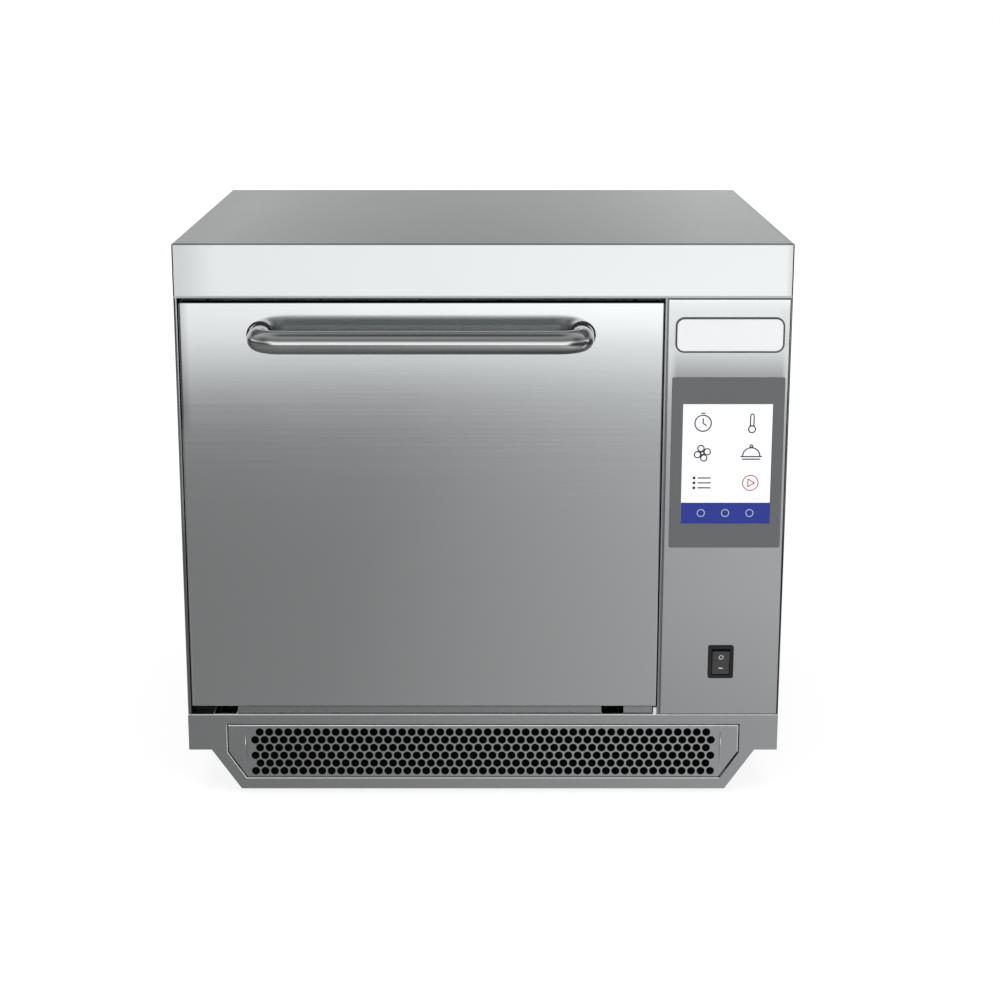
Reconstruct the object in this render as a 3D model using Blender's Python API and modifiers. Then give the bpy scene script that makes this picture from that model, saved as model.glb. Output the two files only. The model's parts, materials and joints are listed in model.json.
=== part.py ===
"""Countertop speed oven with a drop-down door, modelled as separate sub-parts.

World frame: +X to the right seen from the front, +Y to the rear, +Z up.
The origin is on the surface the oven stands on, in the middle of its width and depth.
"""
import math

import bmesh
import bpy
from mathutils import Matrix, Vector

mm = 0.001

# Gaps and cutters
fit = 0.3 * mm
overrun = 4 * mm
weld_distance = 0.001 * mm
axis_weld_distance = 0.01 * mm

# Casing
casing_width = 598 * mm
casing_depth = 504 * mm
casing_height = 563 * mm
sheet = 1.5 * mm
thin_sheet = 1.2 * mm
fold_radius = 2 * mm
band_height = 50.9 * mm
side_lip = 3.5 * mm
rear_lip = 14 * mm

# Base, its front panel and the feet
sill_height = 85 * mm
shoulder_height = 47.4 * mm
shoulder_inset = 23 * mm
skirt_height = 5.3 * mm
skirt_inset = 52.5 * mm
skirt_return = 16 * mm
sill_depth = 50 * mm
pan_floor_height = 20 * mm
foot_radius = 19 * mm
foot_sole_radius = 15 * mm
foot_chamfer = 4 * mm
foot_side_inset = 94 * mm
foot_front_inset = 62 * mm
foot_rear_inset = 64 * mm
deck_vent_width = 84 * mm
deck_vent_depth = 70 * mm
deck_vent_inset = 64 * mm

# Air filter in the base panel
aperture_inset = 16.2 * mm
aperture_top = 74.3 * mm
aperture_knee = 44.4 * mm
aperture_low_inset = 5.3 * mm
aperture_bottom = 17 * mm
aperture_lip = 5.5 * mm
filter_gap = 0.6 * mm
filter_return = 6 * mm
hole_radius = 3.75 * mm
hole_pitch = 9.65 * mm
hole_rows = 6
hole_margin = 9 * mm
holes_centre_height = 45.45 * mm
pull_inset = 18.8 * mm
pull_reach = 5 * mm
pull_height = 39 * mm
pull_centre_height = 47.5 * mm
mat_margin = 3 * mm

# Door
door_side_gap = 1 * mm
door_top_gap = 6 * mm
door_bottom_gap = 9.1 * mm
door_skin_depth = 30 * mm
door_inner_depth = 14.4 * mm
door_inner_inset = 0.5 * mm
choke_land = 14 * mm
choke_width = 22 * mm
choke_depth = 8.7 * mm

# Door handle
handle_radius = 10.4 * mm
handle_inset = 80.25 * mm
handle_standoff = 46.1 * mm
handle_bend = 24 * mm
handle_drop = 31.1 * mm
collar_radius = 12.8 * mm
collar_height = 3 * mm
collar_chamfer = 1 * mm

# Door hinges and their springs
pivot_inset = 6.5 * mm
pivot_drop = 3.3 * mm
pin_radius = 2 * mm
pin_head_radius = 3.2 * mm
pin_head_length = 1.5 * mm
pin_clearance = 0.3 * mm
hinge_left_inset = 33.1 * mm
hinge_right_inset = 42.7 * mm
arm_thickness = 5 * mm
arm_boss_radius = 3.7 * mm
arm_boss_start = -40
arm_boss_end = 235
arm_inner_reach = 24.5 * mm
arm_outer_reach = 36.5 * mm
arm_foot_height = 4.5 * mm
arm_foot_depth = 8.4 * mm
arm_plate_depth = 23 * mm
arm_plate_height = 66 * mm
neck_drop = 15.7 * mm
neck_height = 8 * mm
neck_front = 1.3 * mm
neck_chamfer = 4 * mm
cheek_gap = 10 * mm
cheek_nose = 3.7 * mm
cheek_nose_drop = 5.1 * mm
cheek_step = 1 * mm
bracket_depth = 48 * mm
bracket_height = 42 * mm
ledge_reach = 41 * mm
slot_width = 22.3 * mm
slot_front = 2.5 * mm
slot_depth = 44.5 * mm
spring_radius = 3.4 * mm
spring_wire = 0.6 * mm
spring_turns = 7
spring_steps = 8
spring_inset = 15 * mm

# Front frame and the wall beside the door
frame_gap = 0.6 * mm
divider_gap = 1.5 * mm
mouth_left_margin = 69.5 * mm
mouth_right_margin = 69.8 * mm
mouth_bottom_margin = 55.9 * mm
mouth_top_margin = 56.1 * mm

# Control fascia, badge place, display and switch
fascia_gap = 1.5 * mm
fascia_width = 117.9 * mm
fascia_bottom_gap = 1 * mm
fascia_top_gap = 3 * mm
fascia_depth = 15 * mm
fascia_fold_radius = 1 * mm
badge_width = 105.7 * mm
badge_height = 34.5 * mm
badge_corner = 8.5 * mm
badge_drop = 88.65 * mm
badge_thickness = 1.7 * mm
bezel_width = 110.1 * mm
bezel_height = 171.3 * mm
bezel_thickness = 1 * mm
bezel_corner = 1.5 * mm
bezel_drop = 216.25 * mm
screen_width = 88.2 * mm
screen_height = 120.7 * mm
screen_drop = 216.85 * mm
screen_thickness = 3.5 * mm
window_margin = 2 * mm
board_width = 96 * mm
board_height = 150 * mm
board_thickness = 1.6 * mm
chip_size = 14 * mm
chip_thickness = 3 * mm
chip_shares = ((-0.25, 0.3), (0.2, 0.15), (-0.1, -0.1), (0.25, -0.3))
controls_offset = 0.95 * mm
switch_width = 25.6 * mm
switch_height = 34.1 * mm
switch_corner = 2 * mm
switch_rise = 56.7 * mm
switch_flange = 2 * mm
switch_body_margin = 2 * mm
switch_depth = 22 * mm
rocker_width = 17.3 * mm
rocker_half = 12.3 * mm
rocker_centre = 4.2 * mm
rocker_rise = 1.7 * mm
rocker_cheek = 1.5 * mm
rocker_heel = 6 * mm
rocker_heel_drop = 3.5 * mm
rocker_keel = 5 * mm
rocker_pivot_inset = 2.5 * mm
rocker_tilt = 7

# Cavity and what it holds
cavity_depth = 378 * mm
flange_width = 20 * mm
insulation_thickness = 25 * mm
diffuser_inset = 328 * mm
floor_tile = 4 * mm
runner_height = 22 * mm
runner_ledge = 12 * mm
runner_lip = 4 * mm
runner_level = 40 * mm
runner_length = 300 * mm
runner_inset = 13 * mm
rack_wire = 2.5 * mm
rack_bar = 1.6 * mm
rack_side_gap = 5 * mm
rack_depth = 301 * mm
rack_corner = 12 * mm
rack_inset = 19.5 * mm
rack_bars = 11
grille_radius_share = 0.2333
grille_slots = 9
grille_slot_share = 0.1
grille_pitch_share = 0.2
outlet_slots = 8
outlet_length = 26 * mm
outlet_inset = 26 * mm

# Convection fan, motor and heater
fan_radius_share = 0.25
fan_blades = 12
fan_blade_height = 20 * mm
fan_blade_length = 42 * mm
fan_blade_thickness = 1.5 * mm
fan_blade_lean = 35
fan_hub_radius = 15 * mm
fan_gap = 6 * mm
shaft_radius = 4 * mm
shaft_clearance = 0.4 * mm
wall_hole_radius = 7 * mm
motor_radius = 45 * mm
motor_length = 40 * mm
motor_plate = 112 * mm
motor_bore = 14 * mm
heater_radius_share = 0.2967
heater_tube = 3.5 * mm
heater_turns = 3
heater_pitch = 9 * mm
heater_steps = 24
heater_start = 20
heater_gap = 8 * mm
heater_lead = 10 * mm
catalyst_width = 100 * mm
catalyst_height_share = 0.1267
catalyst_depth = 15 * mm
catalyst_slots = 9
catalyst_slot = 5 * mm
catalyst_rim = 4 * mm

# Microwave source under and beside the cavity
guide_width = 110 * mm
guide_left_reach = 58 * mm
guide_right_reach = 48.5 * mm
guide_inset = 150 * mm
guide_mouth = 104 * mm
antenna_radius = 12 * mm
antenna_length = 14 * mm
magnetron_width = 91 * mm
magnetron_depth = 70 * mm
magnetron_height = 70 * mm
magnetron_frame = 3 * mm
magnetron_core = 40 * mm
magnetron_fins = 5
magnetron_fin = 1.2 * mm
stirrer_radius = 46 * mm
stirrer_blades = 3
stirrer_blade = 16 * mm
stirrer_pitch = 25
stirrer_thickness = 1.2 * mm
stirrer_hub = 6 * mm
stirrer_lift = 16 * mm
stirrer_shaft = 3 * mm
stirrer_motor_radius = 25 * mm
stirrer_motor_height = 22 * mm
stirrer_bore = 12 * mm

# Power supply
transformer_width = 94 * mm
transformer_depth = 86 * mm
transformer_height = 80 * mm
coil_width = 62 * mm
coil_reach = 13 * mm
coil_height = 50 * mm
transformer_inset = 336 * mm
capacitor_length = 52 * mm
capacitor_width = 30 * mm
capacitor_height = 90 * mm
capacitor_inset = 290 * mm
terminal_size = 5 * mm
terminal_height = 9 * mm
terminal_thickness = 1.6 * mm
terminal_spacing = 20.8 * mm

# Cooling fan
cooler_size = 100 * mm
cooler_depth = 38 * mm
cooler_bore = 46 * mm
cooler_side_inset = 67.5 * mm
cooler_drop = 213 * mm
cooler_strut = 6 * mm
cooler_plate = 3 * mm
cooler_hub_radius = 20 * mm
cooler_hub_length = 15 * mm
cooler_motor_radius = 17 * mm
cooler_motor_length = 14 * mm
cooler_shaft = 2.5 * mm
cooler_shaft_length = 11 * mm
cooler_blades = 7
cooler_blade_reach = 25 * mm
cooler_blade_chord = 17 * mm
cooler_blade_thickness = 1.6 * mm
cooler_blade_pitch = 40

# Back panel, steam outlet and cable entry
vent_slots = 9
vent_slot = 4 * mm
vent_pitch = 10 * mm
vent_width = 84 * mm
left_vent_width = 150 * mm
left_vent_inset = 149 * mm
steam_radius = 13 * mm
steam_wall = 1.5 * mm
steam_clearance = 0.8 * mm
steam_flange = 20 * mm
steam_reach = 4.5 * mm
steam_drop = 13 * mm
entry_side_inset = 67 * mm
entry_rise = 65 * mm
entry_size = 60 * mm
entry_depth = 28 * mm
gland_radius = 13 * mm
gland_flange = 5 * mm
gland_dome = 10 * mm
gland_length = 22 * mm
gland_bore = 5 * mm
gland_chamfer = 2.5 * mm

# Places worked out from the sizes
left = -casing_width / 2
right = casing_width / 2
handle_reach = handle_standoff + handle_radius
overall_depth = handle_reach + casing_depth + steam_reach
front = handle_reach - overall_depth / 2
rear = front + casing_depth
fascia_right = right - sheet - fit
fascia_left = fascia_right - fascia_width
divider_right = fascia_left - fascia_gap
divider_left = divider_right - sheet
door_left = left + side_lip + door_side_gap
door_right = divider_left - divider_gap
door_centre_x = (door_left + door_right) / 2
handle_spacing = door_right - door_left - handle_inset - handle_inset
door_bottom = sill_height + door_bottom_gap
door_top = casing_height - band_height - door_top_gap
door_depth = door_skin_depth + fit + door_inner_depth
frame_front = front + door_depth + frame_gap
bay_centre_x = (fascia_left + fascia_right) / 2
controls_centre_x = bay_centre_x + controls_offset
panel_top = casing_height - band_height - fit
inner_rear = rear - sheet - fit
lip_front = inner_rear - sheet
pivot_y = front + pivot_inset
pivot_z = sill_height - pivot_drop
hinge_left_x = door_left + hinge_left_inset
hinge_right_x = door_right - hinge_right_inset
mouth_left = door_left + mouth_left_margin
mouth_right = door_right - mouth_right_margin
mouth_bottom = door_bottom + mouth_bottom_margin
mouth_top = door_top - mouth_top_margin
mouth_width = mouth_right - mouth_left
mouth_height = mouth_top - mouth_bottom
cavity_x = (mouth_left + mouth_right) / 2
cavity_z = (mouth_bottom + mouth_top) / 2
liner_front = frame_front + sheet + fit
liner_rear = liner_front + cavity_depth
wrap_rear = liner_rear + thin_sheet + fit + insulation_thickness
diffuser_front = liner_front + diffuser_inset
guide_y = front + guide_inset + guide_width / 2
wrap_bottom = mouth_bottom - thin_sheet - fit - insulation_thickness
guide_height = wrap_bottom - fit - sill_height - fit
guide_left = cavity_x - guide_left_reach
guide_right = bay_centre_x + guide_right_reach
rack_width = mouth_width - rack_side_gap - rack_side_gap
grille_radius = mouth_height * grille_radius_share
grille_slot = grille_radius * grille_slot_share
grille_pitch = grille_radius * grille_pitch_share
fan_radius = mouth_height * fan_radius_share
heater_radius = mouth_height * heater_radius_share
catalyst_height = mouth_height * catalyst_height_share
cooler_centre_x = right - cooler_side_inset
cooler_centre_height = casing_height - cooler_drop
left_vent_x = left + left_vent_inset
left_vent_height = cavity_z
steam_height = mouth_top - steam_drop
entry_x = right - entry_side_inset
entry_height = sill_height + entry_rise
shoulder_half = right - shoulder_inset
skirt_half = right - skirt_inset
aperture_half = shoulder_half - aperture_inset
aperture_low_half = skirt_half - aperture_low_inset
pull_x = aperture_half - pull_inset
holes_in_long_row = 2 * int((pull_x - hole_margin) / hole_pitch) + 1
floor_slope = (shoulder_half - skirt_half) / (shoulder_height - skirt_height)
pan_floor_half = skirt_half + (pan_floor_height - skirt_height) * floor_slope - fit


# Scene, collections and finishes
for item in list(bpy.data.objects):
    bpy.data.objects.remove(item, do_unlink=True)

parts = bpy.data.collections.new("speed_oven")
tools = bpy.data.collections.new("cutters")
bpy.context.scene.collection.children.link(parts)
bpy.context.scene.collection.children.link(tools)


def finish(name, colour, roughness, metallic=0.0):
    material = bpy.data.materials.new(name)
    material.use_nodes = True
    shader = material.node_tree.nodes["Principled BSDF"]
    shader.inputs["Base Color"].default_value = (*colour, 1.0)
    shader.inputs["Roughness"].default_value = roughness
    shader.inputs["Metallic"].default_value = metallic
    return material


brushed_steel = finish("brushed_steel", (0.60, 0.61, 0.62), 0.35, 1.0)
polished_steel = finish("polished_steel", (0.70, 0.71, 0.72), 0.15, 1.0)
zinc_steel = finish("zinc_steel", (0.52, 0.53, 0.54), 0.45, 1.0)
spring_steel = finish("spring_steel", (0.30, 0.31, 0.32), 0.35, 1.0)
aluminium = finish("aluminium", (0.75, 0.76, 0.77), 0.4, 1.0)
black_plastic = finish("black_plastic", (0.02, 0.02, 0.02), 0.4)
grey_plastic = finish("grey_plastic", (0.15, 0.15, 0.16), 0.45)
white_plastic = finish("white_plastic", (0.80, 0.80, 0.80), 0.4)
screen_glass = finish("screen_glass", (0.85, 0.87, 0.90), 0.1)
rubber = finish("rubber", (0.03, 0.03, 0.03), 0.8)
wool = finish("wool", (0.75, 0.72, 0.62), 0.95)
ceramic = finish("ceramic", (0.78, 0.75, 0.68), 0.5)
copper_wire = finish("copper_wire", (0.55, 0.25, 0.12), 0.4, 1.0)
circuit_green = finish("circuit_green", (0.04, 0.20, 0.08), 0.5)
filter_foam = finish("filter_foam", (0.03, 0.03, 0.03), 0.9)


# Modelling helpers
def place(name, mesh, material=None):
    """Put a mesh in the parts, or among the cutters where it has no material."""
    piece = bpy.data.objects.new(name, mesh)
    if material is None:
        tools.objects.link(piece)
        piece.hide_render = True
        piece.display_type = "WIRE"
    else:
        parts.objects.link(piece)
        mesh.materials.append(material)
    return piece


def mesh_of(name, bm):
    mesh = bpy.data.meshes.new(name)
    bmesh.ops.recalc_face_normals(bm, faces=bm.faces)
    bm.to_mesh(mesh)
    bm.free()
    return mesh


def cuboid(bm, low, high):
    size = [b - a for a, b in zip(low, high)]
    middle = [(a + b) / 2 for a, b in zip(low, high)]
    matrix = Matrix.Translation(middle) @ Matrix.Diagonal((*size, 1.0))
    return bmesh.ops.create_cube(bm, size=1.0, matrix=matrix)["verts"]


def block(name, low, high, material=None):
    bm = bmesh.new()
    cuboid(bm, low, high)
    return place(name, mesh_of(name, bm), material)


def blocks(name, boxes):
    """Several separate boxes in one cutter or tool."""
    bm = bmesh.new()
    for low, high in boxes:
        cuboid(bm, low, high)
    return place(name, mesh_of(name, bm))


def tray(name, low, high, wall, open_side, material=None, radius=0.0):
    """A box of sheet metal that is open on one side, such as -Z; radius rounds its folds."""
    bm = bmesh.new()
    cuboid(bm, low, high)
    sign = -1 if open_side[0] == "-" else 1
    axis = "XYZ".index(open_side[1])
    gone = [face for face in bm.faces if face.normal[axis] * sign > 0.9]
    bmesh.ops.delete(bm, geom=gone, context="FACES")
    if radius:
        edges = [edge for edge in bm.edges if not edge.is_boundary]
        bmesh.ops.bevel(bm, geom=edges, offset=radius, segments=2, profile=0.5,
                        affect="EDGES", material=-1)
    return thicken(place(name, mesh_of(name, bm), material), wall)


def folded_panel(name, loops, returns, y, material):
    """A flat front sheet at y, folded to the rear along its outline and its openings.

    returns holds the depth of the fold along each loop, or zero where it has none.
    """
    bm = bmesh.new()
    rims = []
    for loop in loops:
        verts = [bm.verts.new((x, y, z)) for x, z in loop]
        rims.append([bm.edges.new((a, b)) for a, b in zip(verts, verts[1:] + verts[:1])])
    bmesh.ops.triangle_fill(bm, use_beauty=True, edges=[edge for rim in rims for edge in rim])
    for rim, depth in zip(rims, returns):
        if depth:
            folded = bmesh.ops.extrude_edge_only(bm, edges=rim)["geom"]
            moved = [item for item in folded if isinstance(item, bmesh.types.BMVert)]
            bmesh.ops.translate(bm, vec=(0, depth, 0), verts=moved)
    bmesh.ops.recalc_face_normals(bm, faces=bm.faces)
    bm.normal_update()
    flat = max(bm.faces, key=lambda face: abs(face.normal.y) * face.calc_area())
    if flat.normal.y > 0:
        bmesh.ops.reverse_faces(bm, faces=bm.faces)
    mesh = bpy.data.meshes.new(name)
    bm.to_mesh(mesh)
    bm.free()
    return place(name, mesh, material)


def thicken(piece, wall):
    shell = piece.modifiers.new("wall", "SOLIDIFY")
    shell.thickness = wall
    shell.offset = -1
    shell.solidify_mode = "NON_MANIFOLD"
    shell.nonmanifold_thickness_mode = "CONSTRAINTS"
    return piece


def cut(piece, cutter):
    step = piece.modifiers.new("cut", "BOOLEAN")
    step.operation = "DIFFERENCE"
    step.object = cutter
    return piece


def join(piece, other):
    step = piece.modifiers.new("join", "BOOLEAN")
    step.operation = "UNION"
    step.object = other
    return piece


def rod(name, radius, start, end, material=None, sides=12, end_radius=None):
    """A round bar, or a cone where end_radius differs."""
    start, end = Vector(start), Vector(end)
    along = end - start
    bm = bmesh.new()
    turn = Vector((0, 0, 1)).rotation_difference(along).to_matrix().to_4x4()
    matrix = Matrix.Translation((start + end) / 2) @ turn
    top = radius if end_radius is None else end_radius
    bmesh.ops.create_cone(bm, cap_ends=True, segments=sides, radius1=radius, radius2=top,
                          depth=along.length, matrix=matrix)
    return place(name, mesh_of(name, bm), material)


def turned(name, profile, centre, turn, material, steps=16):
    """A profile of radius and height pairs, from the top down its outer side, spun about Z."""
    mesh = bpy.data.meshes.new(name)
    bm = bmesh.new()
    points = [bm.verts.new((radius, 0, height)) for radius, height in profile]
    for a, b in zip(points, points[1:]):
        bm.edges.new((a, b))
    if profile[0][0] > 0:
        bm.edges.new((points[-1], points[0]))
    bm.to_mesh(mesh)
    bm.free()
    piece = place(name, mesh, material)
    piece.location = centre
    piece.rotation_euler = turn
    spin = piece.modifiers.new("turn", "SCREW")
    spin.steps = steps
    spin.render_steps = steps
    spin.use_merge_vertices = True
    spin.merge_threshold = axis_weld_distance
    return piece


def solid_from(curve_object):
    """The mesh object of a curve, with its caps welded, at the curve's place."""
    bpy.context.view_layer.update()
    graph = bpy.context.evaluated_depsgraph_get()
    mesh = bpy.data.meshes.new_from_object(curve_object.evaluated_get(graph))
    bm = bmesh.new()
    bm.from_mesh(mesh)
    bmesh.ops.remove_doubles(bm, verts=bm.verts, dist=weld_distance)
    bmesh.ops.recalc_face_normals(bm, faces=bm.faces)
    bm.to_mesh(mesh)
    bm.free()
    mesh.materials.clear()
    name = curve_object.name
    matrix = curve_object.matrix_world.copy()
    bpy.data.objects.remove(curve_object, do_unlink=True)
    return name, mesh, matrix


flat_turns = {
    "XY": (0, 0, 0),
    "XZ": (math.pi / 2, 0, 0),
    "YZ": (math.pi / 2, 0, math.pi / 2),
}
flat_axes = {"XY": "Z", "XZ": "Y", "YZ": "X"}


def plate(name, loops, plane, start, end, material=None):
    """A flat outline, with any holes as further loops, given thickness from start to end."""
    curve = bpy.data.curves.new(name, "CURVE")
    curve.dimensions = "2D"
    curve.fill_mode = "BOTH"
    curve.extrude = abs(end - start) / 2
    for loop in loops:
        spline = curve.splines.new("POLY")
        spline.points.add(len(loop) - 1)
        for point, (a, b) in zip(spline.points, loop):
            point.co = (a, b, 0, 1)
        spline.use_cyclic_u = True
    drawn = bpy.data.objects.new(name, curve)
    parts.objects.link(drawn)
    drawn.rotation_euler = flat_turns[plane]
    drawn.location["XYZ".index(flat_axes[plane])] = (start + end) / 2
    label, mesh, matrix = solid_from(drawn)
    piece = place(label, mesh, material)
    piece.matrix_world = matrix
    return piece


def rectangle(left_side, right_side, low, high):
    return [(left_side, low), (right_side, low), (right_side, high), (left_side, high)]


def arc(centre, radius, start, end, count):
    """Points of an arc, with its angles in degrees."""
    points = []
    for i in range(count + 1):
        angle = math.radians(start + (end - start) * i / count)
        points.append((centre[0] + radius * math.cos(angle), centre[1] + radius * math.sin(angle)))
    return points


def rounded(left_side, right_side, low, high, radius, count=4):
    corners = [((right_side - radius, high - radius), 0), ((left_side + radius, high - radius), 90),
               ((left_side + radius, low + radius), 180), ((right_side - radius, low + radius), 270)]
    points = []
    for centre, angle in corners:
        points += arc(centre, radius, angle, angle + 90, count)
    return points


def circle(centre, radius, sides):
    return arc(centre, radius, 0, 360 - 360 / sides, sides - 1)


def offset_line(points, distance, closed):
    """The points moved to the left of their path by a distance, with mitred corners."""
    moved = []
    count = len(points)
    for i in range(count):
        here = Vector(points[i])
        back = here - Vector(points[i - 1]) if closed or i else None
        ahead = Vector(points[(i + 1) % count]) - here if closed or i < count - 1 else None
        normals = [Vector((-edge.y, edge.x)).normalized() for edge in (back, ahead) if edge]
        mitre = sum(normals, Vector((0, 0))).normalized()
        shift = mitre * (distance / mitre.dot(normals[0]))
        moved.append(tuple(here + shift))
    return moved


def bent_sheet(points, thickness):
    """The closed outline of a sheet folded along points, with its thickness to their left."""
    return points + offset_line(points, thickness, False)[::-1]


def tube(name, points, radius, resolution, material=None, closed=False):
    """A round bar along points, as a poly curve: a ring where closed, or else with filled caps."""
    curve = bpy.data.curves.new(name, "CURVE")
    curve.dimensions = "3D"
    curve.bevel_depth = radius
    curve.bevel_resolution = resolution
    curve.use_fill_caps = not closed
    spline = curve.splines.new("POLY")
    spline.points.add(len(points) - 1)
    for point, spot in zip(spline.points, points):
        point.co = (*spot, 1)
    spline.use_cyclic_u = closed
    piece = bpy.data.objects.new(name, curve)
    if material:
        curve.materials.append(material)
        parts.objects.link(piece)
    else:
        tools.objects.link(piece)
    return piece


def ring(name, points, radius, resolution, material=None):
    """A closed loop of round bar as a mesh, so that other pieces can be joined to it."""
    label, mesh, matrix = solid_from(tube(name, points, radius, resolution, closed=True))
    piece = place(label, mesh, material)
    piece.matrix_world = matrix
    return piece


# Casing and base
def base_outline():
    return [(left, shoulder_height), (-shoulder_half, shoulder_height), (-skirt_half, skirt_height),
            (skirt_half, skirt_height), (shoulder_half, shoulder_height), (right, shoulder_height),
            (right, sill_height), (left, sill_height)]


def aperture_outline():
    return [(-aperture_half, aperture_knee), (-aperture_low_half, aperture_bottom),
            (aperture_low_half, aperture_bottom), (aperture_half, aperture_knee),
            (aperture_half, aperture_top), (-aperture_half, aperture_top)]


def base_front_panel():
    loops = [base_outline(), aperture_outline()]
    piece = folded_panel("base_front_panel", loops, [skirt_return, aperture_lip], front, brushed_steel)
    thicken(piece, sheet)
    low = (-fascia_right, front + skirt_return - sheet / 2, sill_height - sheet)
    join(piece, block("sill", low, (fascia_right, front + sill_depth, sill_height)))
    for x in (hinge_left_x, hinge_right_x):
        low = (x - slot_width / 2, front + slot_front, sill_height - overrun)
        high = (x + slot_width / 2, front + slot_front + slot_depth, sill_height + overrun)
        cut(piece, block("sill_slot", low, high))


def base_pan():
    side = right - sheet - fit
    top = sill_height - sheet - fit
    half = [(shoulder_half - fit, shoulder_height), (side, shoulder_height), (side, top)]
    floor = [(-pan_floor_half, pan_floor_height), (pan_floor_half, pan_floor_height)]
    path = [(-x, z) for x, z in reversed(half)] + floor + half
    start = front + skirt_return + fit
    plate("base_pan", [bent_sheet(path, thin_sheet)], "XZ", start, lip_front - fit, zinc_steel)


def feet():
    height = pan_floor_height - fit
    profile = [(0, height), (foot_radius, height), (foot_radius, foot_chamfer),
               (foot_sole_radius, 0), (0, 0)]
    for name, y in (("front", front + foot_front_inset), ("rear", rear - foot_rear_inset)):
        for side, sign in (("left", -1), ("right", 1)):
            turned(f"foot_{name}_{side}", profile, (sign * (right - foot_side_inset), y, 0), (0, 0, 0), rubber)


def chassis_deck():
    side = right - sheet - fit
    start = front + sill_depth + fit
    vent_left = bay_centre_x - deck_vent_width / 2
    vent_front = front + deck_vent_inset
    vent = rectangle(vent_left, vent_left + deck_vent_width, vent_front, vent_front + deck_vent_depth)
    hole = circle((cavity_x, guide_y), stirrer_shaft + shaft_clearance, 16)
    outline = rectangle(-side, side, start, lip_front - fit)
    plate("chassis_deck", [outline, vent, hole], "XY", sill_height - sheet, sill_height, zinc_steel)


def side_panel(name, sign):
    path = [(-right + side_lip, front), (-right, front), (-right, inner_rear),
            (-right + rear_lip, inner_rear)]
    outline = bent_sheet(path, -sheet)
    outline = [(-sign * x, y) for x, y in outline]
    piece = plate(name, [outline], "XY", shoulder_height + fit, panel_top, brushed_steel)
    reach = (right + overrun) * sign
    low = (min(0, reach), front - overrun, 0)
    high = (max(0, reach), front + skirt_return + fit, sill_height + fit)
    return cut(piece, block(f"{name}_notch", low, high))


def right_side_panel():
    piece = side_panel("right_side_panel", 1)
    low = (0, front - overrun, 0)
    high = (right - sheet, front + sheet + fit, casing_height)
    cut(piece, block("fascia_notch", low, high))


def back_panel():
    outline = [(-right, panel_top), (-right, shoulder_height), (-shoulder_half, shoulder_height),
               (-pan_floor_half, pan_floor_height), (pan_floor_half, pan_floor_height),
               (shoulder_half, shoulder_height), (right, shoulder_height), (right, panel_top)]
    loops = [outline, circle((cavity_x, steam_height), steam_radius + steam_clearance, 16)]
    half = entry_size / 2
    edge = half + sheet / 2
    loops.append(rectangle(entry_x - edge, entry_x + edge, entry_height - edge, entry_height + edge))
    for x, z, width in ((cooler_centre_x, cooler_centre_height, vent_width),
                        (left_vent_x, left_vent_height, left_vent_width)):
        for i in range(vent_slots):
            middle = z + (i - (vent_slots - 1) / 2) * vent_pitch
            loops.append(rectangle(x - width / 2, x + width / 2, middle - vent_slot / 2,
                                   middle + vent_slot / 2))
    piece = folded_panel("back_panel", loops, [0] * len(loops), rear - sheet, brushed_steel)
    thicken(piece, sheet)
    outer = half + sheet
    low = (entry_x - outer, rear - entry_depth - sheet, entry_height - outer)
    high = (entry_x + outer, rear - fit, entry_height + outer)
    join(piece, tray("cable_recess", low, high, sheet, "+Y"))


def top_cover():
    low = (left, front, casing_height - band_height)
    tray("top_cover", low, (right, rear, casing_height), sheet, "-Z", brushed_steel, fold_radius)


# Filter that pulls out of the base panel
def air_filter_panel():
    outline = offset_line(aperture_outline(), filter_gap, True)
    loops = [outline]
    row_pitch = hole_pitch * math.sin(math.radians(60))
    for row in range(hole_rows):
        z = holes_centre_height + ((hole_rows - 1) / 2 - row) * row_pitch
        count = holes_in_long_row - (row + 1) % 2
        for i in range(count):
            x = (i - (count - 1) / 2) * hole_pitch
            loops.append(circle((x, z), hole_radius, 6))
    folds = [filter_return] + [0] * (len(loops) - 1)
    piece = thicken(folded_panel("air_filter_panel", loops, folds, front, brushed_steel), thin_sheet)
    radius = pull_reach
    low = pull_centre_height - pull_height / 2
    high = pull_centre_height + pull_height / 2
    tab = [(front + sheet / 2, low), (front + sheet / 2, high)]
    tab += arc((front, high - radius), radius, 90, 180, 3) + arc((front, low + radius), radius, 180, 270, 3)
    for sign in (-1, 1):
        x = sign * pull_x
        join(piece, plate("pull_tab", [tab], "YZ", x - thin_sheet / 2, x + thin_sheet / 2))


def air_filter_mat():
    outline = offset_line(aperture_outline(), filter_gap + mat_margin, True)
    plate("air_filter_mat", [outline], "XZ", front + thin_sheet + fit, front + filter_return, filter_foam)


# Door, its handle and its hinges
def door_skin():
    low = (door_left, front, door_bottom)
    high = (door_right, front + door_skin_depth, door_top)
    tray("door_skin", low, high, sheet, "+Y", brushed_steel, fold_radius)


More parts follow.
